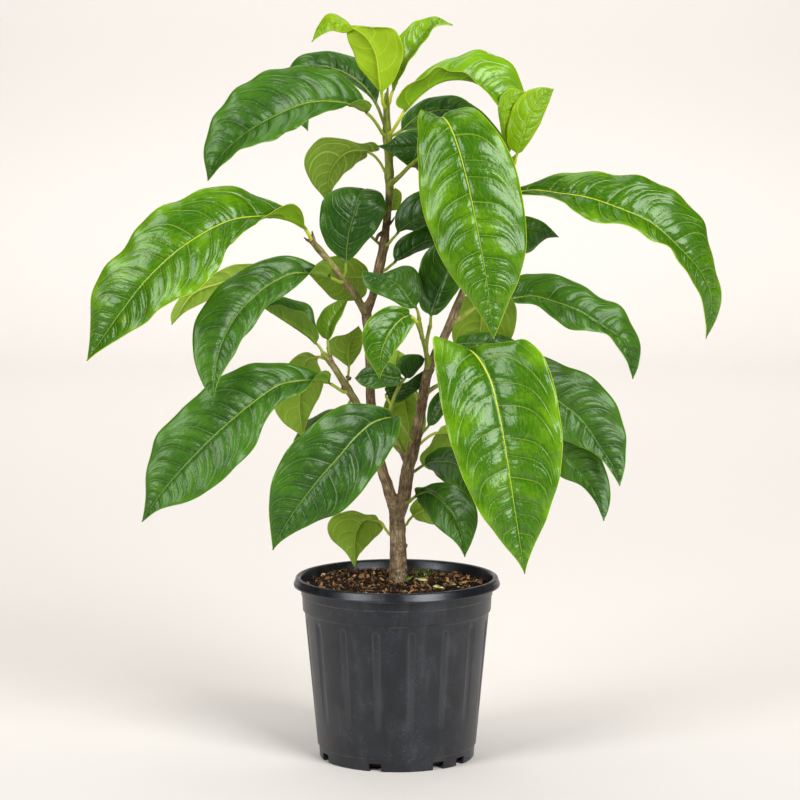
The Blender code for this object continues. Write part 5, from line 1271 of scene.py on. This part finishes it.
def fluteTree():
    # sinks round-topped flutes that fade out downwards into the body's outer wall
    tree, g, start, given = newTree("flutes", fluteSizes)
    outside = g.node("GeometryNodeInputNamedAttribute", {"data_type": "FLOAT"}, {"Name": "outside"})
    x, y, z = g.split(g.node("GeometryNodeInputPosition"))
    x, y, z = x * 1000, y * 1000, z * 1000
    radius = (x * x + y * y) ** 0.5
    degrees = y.sum("ARCTAN2", y, x) * (180 / math.pi)
    turn = (degrees - given["First angle"] + 720) * given["Flutes"] / 360
    # mm round the wall from the middle of the nearest flute
    aside = abs((turn + 0.5).part() - 0.5) / given["Flutes"] * 6.2832 * radius
    above = (z - given["Top"] + given["Half width"]).high(0)
    away = (aside * aside + above * above) ** 0.5
    groove = g.ease(away / given["Half width"], 1.0, 0.4)
    fade = ((z - given["Bottom"]) / (given["Top"] - given["Bottom"])).high(0).low(1) ** 0.6
    depth = groove * fade * given["Depth"] * outside * -1 * mm
    # the flute mask goes to the material, which paints shade into the flutes and a highlight on their
    # flanks
    marked = g.mark(start, "groove", groove * fade * outside, "POINT")
    way = g.node("ShaderNodeVectorMath", {"operation": "NORMALIZE"}, {0: g.join(x, y, 0.0)})
    offset = g.node("ShaderNodeVectorMath", {"operation": "SCALE"}, {0: way, 3: depth})
    moved = g.node("GeometryNodeSetPosition", {}, {"Geometry": marked, "Offset": offset})
    endTree(g, moved, potMaterial)
    return tree


def potSkin():
    material, g = newMaterial("potPlastic")
    spot = g.spot()
    height = g.split(spot)[2] * 1000        # mm
    grime = g.rough(spot, 34, 5, 0.6)
    dust = g.rough(g.stretched(spot, (60, 60, 18)), 1.0, 4, 0.6)
    speckSpots = g.cells(spot, 760)
    speckPick = g.node("ShaderNodeTexWhiteNoise", {}, {"Vector": g.cells(spot, 760, output=1)})
    speck = g.fade(speckSpots, 0.12, 0.34) * (speckPick > 0.80) * g.ease(grime, 0.4, 0.6)
    away = abs(height - potMake["dusty"][0])
    for level in potMake["dusty"][1:]:
        away = away.low(abs(height - level))
    line = g.fade(away, 0.25, 1.0) * g.ease(dust, 0.36, 0.6)
    groove = g.stored("groove", 2)
    colour = g.mix(g.ease(grime, 0.35, 0.75), potColours["low"], potColours["high"])
    # painted shade inside the flutes and a painted highlight along their flanks, then dust, dust
    # lines and specks
    for share, layer in ((g.ease(dust, 0.48, 0.74) * 0.22, "dust"), (groove * 0.6, "groove"),
                         (groove * (1 - groove) * 0.9, "paintedGrooveSheen"), (line * 0.4, "line"),
                         (speck * 0.34, "speck")):
        colour = g.mix(share, colour, potColours[layer])
    roughness = g.ease(dust, 0.3, 0.8) * 0.12 + 0.32 - g.ease(height, 164, 172) * 0.05 + line * 0.2
    fine = g.rough(spot, 900, 2)
    normal = g.bump(fine * 0.25 + grime * 0.5, 0.5, 0.4 * mm)
    g.surface(Base_Color=colour, Roughness=roughness, Normal=normal, IOR=1.5,
              Specular_IOR_Level=0.55, Specular_Tint=potColours["sheen"])
    return material


def turnedMesh(name, profile, steps, flag):
    # a closed turned body; the profile starts and ends on the axis
    points = [Vector((0, 0, profile[0].y)) * mm, Vector((0, 0, profile[-1].y)) * mm]
    faces, marks = [], [0, 0]
    rows = profile[1:-1]
    for row in rows:
        for k in range(steps):
            angle = 2 * math.pi * k / steps
            points.append(Vector((row.x * math.cos(angle), row.x * math.sin(angle), row.y)) * mm)
            marks.append(flag(row))
    for k in range(steps):
        near = (k + 1) % steps
        faces.append((0, 2 + k, 2 + near))
        foot = 2 + (len(rows) - 1) * steps
        faces.append((1, foot + near, foot + k))
        for row in range(len(rows) - 1):
            a = 2 + row * steps
            faces.append((a + k, a + steps + k, a + steps + near, a + near))
    mesh = newMesh(name, points, faces)
    storeOn(mesh, "outside", marks, "FLOAT")
    return mesh


def fluted(row):
    # whether a row of the profile lies on the outer wall between foot and step
    p = potMake
    foot, step = p["foot"], p["lowerStep"]
    wall = p["bodyFoot"] + (p["bodyTop"] - p["bodyFoot"]) * (row.y - foot) / (step - foot)
    return float(row.x > wall - p["skin"] and foot + p["clear"] < row.y < step - p["clear"])


def drainBlocks():
    # one block for each drain notch, to be cut out of the pot
    work = bmesh.new()
    d = drainMake
    depth = potMake["bodyFoot"] + d["beyond"] - d["inner"]
    for degrees in d["angles"]:
        block = bmesh.ops.create_cube(work, size=1.0)["verts"]
        bmesh.ops.scale(work, vec=(depth * mm, d["width"] * mm, 2 * d["height"] * mm), verts=block)
        turn = Matrix.Rotation(math.radians(degrees - 90), 4, "Z")
        outward = Matrix.Translation(((d["inner"] + depth / 2) * mm, 0, 0))
        bmesh.ops.transform(work, verts=block, matrix=turn @ outward)
    level = [edge for edge in work.edges
             if abs((edge.verts[0].co - edge.verts[1].co).normalized().z) < 0.5]
    bmesh.ops.bevel(work, geom=level, offset=d["bevel"] * mm, segments=d["bevelSteps"],
                    affect="EDGES", profile=0.5)
    return newObject("drainBlocks", workMesh(work, "drainBlocks"))


def makePot():
    profile = potProfile()
    fine = [profile[0]]
    for first, second in zip(profile, profile[1:]):
        # only the long outer wall needs rows for its flutes
        parts = potMake["bodyRows"] if first.y - second.y > potMake["height"] / 2 else 1
        fine += [first.lerp(second, step / parts) for step in range(1, parts + 1)]
    mesh = turnedMesh("pot", fine, potMake["turns"], fluted)
    item = growTree(newObject("potBody", mesh), fluteTree(), fluteSizes)
    mesh = plainMesh(item)
    cutter = drainBlocks()
    item = newObject("potBody", mesh)
    cut = item.modifiers.new("drains", "BOOLEAN")
    cut.operation, cut.object = "DIFFERENCE", cutter
    mesh = plainMesh(item)
    bpy.data.objects.remove(cutter)
    mesh.shade_smooth()
    mesh.set_sharp_from_angle(angle=math.radians(potMake["sharp"]))
    return dress("potBody", mesh, "black_plastic", ["pot"], [potMaterial])


potMaterial = potSkin()
makePot()
print("pot made")

soilMake = {"edge": 171.2, "mound": 8.6, "radius": 94.0, "rings": 52, "turns": 200,
            "lump": 3.4, "lumpScale": 0.075, "grit": 1.7, "gritScale": 0.25,
            "ridge": 3.5, "ridgeSpot": (-48, 42), "ridgeReach": 30,
            "under": ((0, 4), (72, 4), (77, 15), (90, 148), (92.5, 158)),   # inside the pot
            "bitsFrom": 11, "bitsTo": 92.5, "bitsOver": 165}
earthColours = ((0.0075, 0.0045, 0.003), (0.055, 0.030, 0.016))
# What lies on the soil: shape, how many shapes, material, its two colours, and how it is strewn.
soilBits = {
    "soilCrumbs": ("crumb", 6, "soilCrumb", (0.009, 0.005, 0.003), (0.075, 0.040, 0.020),
                   {"Density": 90000, "Smallest": 0.4, "Largest": 1.5, "Tilt": 3.0, "Seed": 9}),
    "barkChips": ("chip", 9, "barkChip", (0.022, 0.010, 0.005), (0.50, 0.26, 0.105),
                  {"Density": 13000, "Smallest": 0.22, "Largest": 1.35, "Tilt": 1.2, "Seed": 5}),
    "soilFibres": ("fibre", 6, "soilFibre", (0.05, 0.024, 0.010), (0.42, 0.23, 0.10),
                   {"Density": 14000, "Smallest": 0.5, "Largest": 1.3, "Tilt": 0.8, "Seed": 14}),
    "paleBits": ("chip", 5, "paleBit", (0.20, 0.12, 0.055), (0.62, 0.45, 0.26),
                 {"Density": 5000, "Smallest": 0.3, "Largest": 0.95, "Tilt": 1.0, "Seed": 21}),
}


def soilTop(x, y):
    # height of the soil in mm
    away = math.hypot(x, y) / soilMake["radius"]
    height = soilMake["edge"] + soilMake["mound"] * math.cos(min(away, 1) * math.pi / 2) ** 0.8
    ridge = math.dist((x, y), soilMake["ridgeSpot"]) / soilMake["ridgeReach"]
    height += soilMake["ridge"] * math.exp(-ridge * ridge)
    rough = noise.noise(Vector((x, y, 3)) * soilMake["lumpScale"]) * soilMake["lump"]
    rough += noise.noise(Vector((x, y, 9)) * soilMake["gritScale"]) * soilMake["grit"]
    return height + rough * (1 - smooth(0.93, 1.0, away) * 0.5)


def soilMaterial(name, low, high):
    material, g = newMaterial(name)
    spot = g.spot()
    tint = g.stored("bitTint", 2)
    grain = g.rough(spot, 420, 4, 0.65)
    clump = g.rough(spot, 60, 3)
    share = g.ease(grain * 0.45 + clump * 0.35 + tint * tint * 0.75, 0.32, 1.15)
    colour = g.mix(share, low, high)
    g.surface(Base_Color=colour, Roughness=0.95, Normal=g.bump(grain, 0.9, 0.5 * mm),
              IOR=1.4, Specular_IOR_Level=0.25)
    return material


def bitShape(kind, draw):
    # one chip, crumb or fibre, lying along X at the origin
    work = bmesh.new()
    if kind == "chip":
        long, wide, thick = draw.uniform(5, 10), draw.uniform(2, 4.2), draw.uniform(0.8, 2)
        bmesh.ops.create_cube(work, size=1.0)
        bmesh.ops.subdivide_edges(work, edges=work.edges[:], cuts=1)
        for corner in work.verts:
            ends = 1 - 0.55 * abs(corner.co.x * 2) ** 2 * draw.uniform(0.4, 1.4)
            corner.co = Vector((corner.co.x * long * draw.uniform(0.85, 1.15),
                                corner.co.y * wide * ends * draw.uniform(0.75, 1.25),
                                corner.co.z * thick * ends * draw.uniform(0.6, 1.4)
                                + (corner.co.x * 2) ** 2 * draw.uniform(-0.6, 0.9)))
    elif kind == "crumb":
        bmesh.ops.create_icosphere(work, subdivisions=1, radius=1.0)
        for corner in work.verts:
            corner.co *= draw.uniform(0.6, 1.25)
            corner.co.z *= 0.75
    else:
        bend, long = draw.uniform(-4, 4), draw.uniform(7, 16)
        rows = []
        for step in range(6):
            t = step / 5 - 0.5
            rise = 0.6 + draw.uniform(-0.4, 0.8)
            rows.append(Vector((t * long, bend * (4 * t * t - 0.4), rise, 0.22)))
        addTube(work, rows, 4)
    bmesh.ops.scale(work, vec=(mm, mm, mm), verts=work.verts)
    return workMesh(work, kind)


def scatterTree(name, sizes, shapes, material):
    # strews bits over the soil's top, clear of the trunk and the pot
    tree, g, start, given = newTree(name, sizes)
    x, y, z = g.split(g.node("GeometryNodeInputPosition"))
    away = (x * x + y * y) ** 0.5
    chosen = ((away > soilMake["bitsFrom"] * mm) * (away < soilMake["bitsTo"] * mm)
              * (z > soilMake["bitsOver"] * mm))
    dots = g.node("GeometryNodeDistributePointsOnFaces", {}, {
        "Mesh": start, "Selection": chosen, "Density": given["Density"], "Seed": given["Seed"]})
    bits = g.node("GeometryNodeCollectionInfo", {}, {
        "Collection": shapes, "Separate Children": True, "Reset Children": True})
    def chance(low, high, seed):
        return g.node("FunctionNodeRandomValue", {"data_type": "FLOAT"},
                      {2: low, 3: high, "Seed": seed}, 1)

    turn = g.join(*(chance(given["Tilt"] * -1, given["Tilt"], seed) for seed in (1, 2)),
                  chance(0.0, fullTurn, 3))
    size = g.join(*(chance(given["Smallest"], given["Largest"], seed) for seed in (4, 5, 6)))
    placed = g.node("GeometryNodeInstanceOnPoints", {}, {
        "Points": dots, "Instance": bits, "Pick Instance": True, "Rotation": turn, "Scale": size})
    tinted = g.mark(placed, "bitTint", chance(0.0, 1.0, 7), "INSTANCE")
    endTree(g, tinted, material)
    return tree


def scatter(name, kind, count, sizes, material, ground):
    draw = random.Random(name)
    shapes = bpy.data.collections.new(kind)
    for _ in range(count):
        shapes.objects.link(bpy.data.objects.new(kind, bitShape(kind, draw)))
    tree = scatterTree(name, sizes, shapes, material)
    item = growTree(newObject(name, ground.copy()), tree, sizes)
    item.data.name = name
    mesh = plainMesh(item)
    for bit in list(shapes.objects):
        bpy.data.objects.remove(bit)
    bpy.data.collections.remove(shapes)
    return dress(name, mesh, "potting_soil", [], [material])


def makeSoil():
    rows, radius = soilMake["rings"], soilMake["radius"]
    top = 1e4           # stands for the top until soilTop gives each point its height
    profile = [Vector(row) for row in soilMake["under"]] + [Vector((radius, soilMake["edge"] - 2))]
    profile += [Vector((radius * (1 - step / rows), top)) for step in range(rows)]
    profile.append(Vector((0, top)))
    mesh = turnedMesh("soilBody", profile[::-1], soilMake["turns"], lambda row: 0.0)
    for vertex in mesh.vertices:
        if vertex.co.z > top * mm / 2:
            vertex.co.z = soilTop(vertex.co.x / mm, vertex.co.y / mm) * mm
    mesh.attributes.remove(mesh.attributes["outside"])
    dress("soilBody", mesh, "potting_soil", ["soil"], [soilMaterial("soilEarth", *earthColours)])
    for name, (kind, count, skin, low, high, sizes) in soilBits.items():
        scatter(name, kind, count, sizes, soilMaterial(skin, low, high), mesh)


makeSoil()
print("soil made")

# Moss, sprouts and pale leaf scraps on the soil right of the trunk.
sproutMake = {"moss": 130, "mossSpot": (25, 34), "mossReach": (10, 7), "spread": 0.45, "seed": 4,
              "rootRise": 0.5, "scrapRise": 2.2,
              "mossColours": ((0.03, 0.060, 0.006), (0.15, 0.27, 0.03)),
              "scrapColours": ((0.48, 0.58, 0.08), (0.90, 0.90, 0.48))}
# x, y, rise, length and turn
sprouts = [(9, -8, 3, 7, 0.6), (11, -7, 4, 6, -0.3), (8, -9, 2, 5, 1.6)]
# x, y, length, width and turn
paleScraps = [(27, -6, 11, 5.4, 0.1), (21, 2, 6, 3, 0.7), (40, -36, 8, 4.4, -0.4),
              (45, -40, 5, 2.6, 0.5), (30, 16, 5, 2.5, 1.2), (57, -22, 4, 2, 0.2)]


def addBlade(work, foot, way, up, long, wide, curl=0.15):
    # a small folded leaf in a few faces, closed
    side = way.cross(up).normalized()
    rows = []
    lift = up * 0.12 * mm
    for step in range(5):
        t = step / 4
        half = wide / 2 * math.sin(math.pi * min(t * 0.92 + 0.06, 1)) ** 0.8
        spot = foot + way * long * t + up * curl * long * math.sin(t * math.pi)
        corners = (spot + side * half + up * half * 0.3, spot + lift,
                   spot - side * half + up * half * 0.3, spot - up * 0.2 * mm)
        rows.append([work.verts.new(corner) for corner in corners])
    for a, b in zip(rows, rows[1:]):
        for k in range(4):
            near = (k + 1) % 4
            work.faces.new((a[k], a[near], b[near], b[k]))
    work.faces.new(rows[0][::-1])
    work.faces.new(rows[-1])


def onSoil(x, y, rise):
    return Vector((x, y, soilTop(x, y) + rise)) * mm


def dressBlades(work, name, material):
    bmesh.ops.recalc_face_normals(work, faces=work.faces)
    mesh = workMesh(work, name)
    mesh.shade_smooth()
    dress(name, mesh, "young_leaf", [], [material])


def makeSprouts():
    draw = random.Random(sproutMake["seed"])
    work = bmesh.new()
    for _ in range(sproutMake["moss"]):
        x, y = (centre + draw.gauss(0, sproutMake["spread"]) * reach
                for centre, reach in zip(sproutMake["mossSpot"], sproutMake["mossReach"]))
        foot = onSoil(x, y, sproutMake["rootRise"])
        way = Vector((draw.uniform(-1, 1), draw.uniform(-1, 1), draw.uniform(0.5, 1.4)))
        way.normalize()
        addBlade(work, foot, way, way.orthogonal().normalized(), draw.uniform(2, 4.2) * mm,
                 draw.uniform(0.7, 1.3) * mm)
    for x, y, rise, long, turn in sprouts:
        way = Vector((math.cos(turn), math.sin(turn) * 0.5, rise / 5)).normalized()
        foot = onSoil(x, y, sproutMake["rootRise"])
        addBlade(work, foot, way, Vector((0, -0.6, 0.8)), long * mm, long * 0.5 * mm)
    dressBlades(work, "mossTuft", sproutMaterial("mossGreen", *sproutMake["mossColours"]))
    work = bmesh.new()
    for x, y, long, wide, turn in paleScraps:
        foot = Vector((x - long / 2, y, soilTop(x, y) + sproutMake["scrapRise"])) * mm
        way = Vector((math.cos(turn), math.sin(turn) * 0.6, -0.12)).normalized()
        addBlade(work, foot, way, Vector((0, -0.55, 0.83)), long * mm, wide * mm, 0.06)
    dressBlades(work, "paleScraps", sproutMaterial("paleLeafScrap", *sproutMake["scrapColours"]))


def sproutMaterial(name, low, high):
    material, g = newMaterial(name)
    spot = g.spot()
    grain = g.rough(spot, 260, 3)
    g.surface(Base_Color=g.mix(g.ease(grain, 0.3, 0.7), low, high), Roughness=0.7,
              Normal=g.bump(grain, 0.6, 0.4 * mm))
    return material


makeSprouts()
print("sprouts made")

studio = {
    # 'near' and 'high' are painted shade: the floor around the pot and the top of the wall are
    # darker, to offset the lamps' stronger light there.
    "paper": (0.90, 0.857, 0.810), "high": (0.77, 0.735, 0.697),
    "floor": (0.96, 0.908, 0.852), "near": (0.80, 0.765, 0.725), "front": (0.05, 0.05, 0.05),
    "world": (1.0, 0.97, 0.93), "worldStrength": 0.10,
    # the sweep of paper, in metres
    "half": 3.5, "start": -3.2, "bend": 3.5, "bendRadius": 1.4, "bendSteps": 24, "top": 4.5,
    "clip": (0.1, 20),
    # name: place, aim, width, height, power
    "lamps": {"key": ((2.1, -3.0, 1.75), (0, 0, 0.6), 2.0, 3.4, 204),
              "fill": ((-2.7, -2.6, 1.75), (0, 0, 0.6), 1.8, 3.4, 130),
              "top": ((-0.2, 0.2, 2.6), (0, 0, 0.4), 1.4, 1.4, 14),
              "wall": ((0, 2.6, 3.0), (0, 4.2, 0.2), 3.4, 0.8, 67)},
}


def makeStudio():
    # the paper rises far enough back for a camera behind the plant
    bend, radius, steps = studio["bend"], studio["bendRadius"], studio["bendSteps"]
    profile = [(studio["start"], 0), (bend, 0)]
    for step in range(1, steps + 1):
        angle = step * math.pi / (2 * steps)
        profile.append((bend + radius * math.sin(angle), radius - radius * math.cos(angle)))
    profile.append((bend + radius, studio["top"]))
    points = [(x, y, z) for y, z in profile for x in (-studio["half"], studio["half"])]
    faces = [(2 * i, 2 * i + 1, 2 * i + 3, 2 * i + 2) for i in range(len(profile) - 1)]
    sweep = newObject("sweep", newMesh("sweep", points, faces))
    material, g = newMaterial("paperSweep")
    spot = g.spot()
    _, y, z = g.split(spot)
    cloud = g.rough(spot, 1.6, 3)
    # painted shade: the floor is darker around the pot
    floor = g.mix(g.ease(y, -0.3, 0.5), studio["near"], studio["floor"])
    # painted dark before the camera, standing for the unlit studio where a real sheet of paper would
    # end
    floor = g.mix(g.ease(y, -0.9, -0.4), studio["front"], floor)
    # painted shade: the paper is darker up the wall
    wall = g.mix(g.ease(z, 0.12, 0.70), studio["paper"], studio["high"])
    g.surface(Base_Color=g.mix(g.ease(y + (cloud - 0.5) * 0.4, 0.4, 2.6), floor, wall),
              Roughness=0.9, Specular_IOR_Level=0.2)
    sweep.data.materials.append(material)
    for name, (spot, aim, width, height, power) in studio["lamps"].items():
        lamp = bpy.data.lights.new(name, "AREA")
        lamp.shape, lamp.size, lamp.size_y, lamp.energy = "RECTANGLE", width, height, power
        item = newObject(name, lamp)
        item.location = spot
        item.rotation_euler = (Vector(aim) - Vector(spot)).to_track_quat("-Z", "Y").to_euler()
    world = bpy.data.worlds.new("studio")
    world.use_nodes = True
    back = world.node_tree.nodes["Background"]
    back.inputs["Color"].default_value = (*studio["world"], 1)
    back.inputs["Strength"].default_value = studio["worldStrength"]
    bpy.context.scene.world = world
    bpy.context.scene.view_settings.view_transform = "Standard"


def makeCamera():
    camera = bpy.data.cameras.new("front")
    camera.lens, camera.sensor_width = view["lens"], view["sensor"]
    camera.clip_start, camera.clip_end = studio["clip"]
    item = newObject("front", camera)
    tilt = math.radians(view["tilt"])
    aim = Vector((view["target"], 0, view["height"])) * mm
    item.location = aim + Vector((0, -math.cos(tilt), math.sin(tilt))) * view["distance"] * mm
    item.rotation_euler = (math.pi / 2 - tilt, 0, 0)
    bpy.context.scene.camera = item


makeStudio()
makeCamera()
print("studio and camera made")
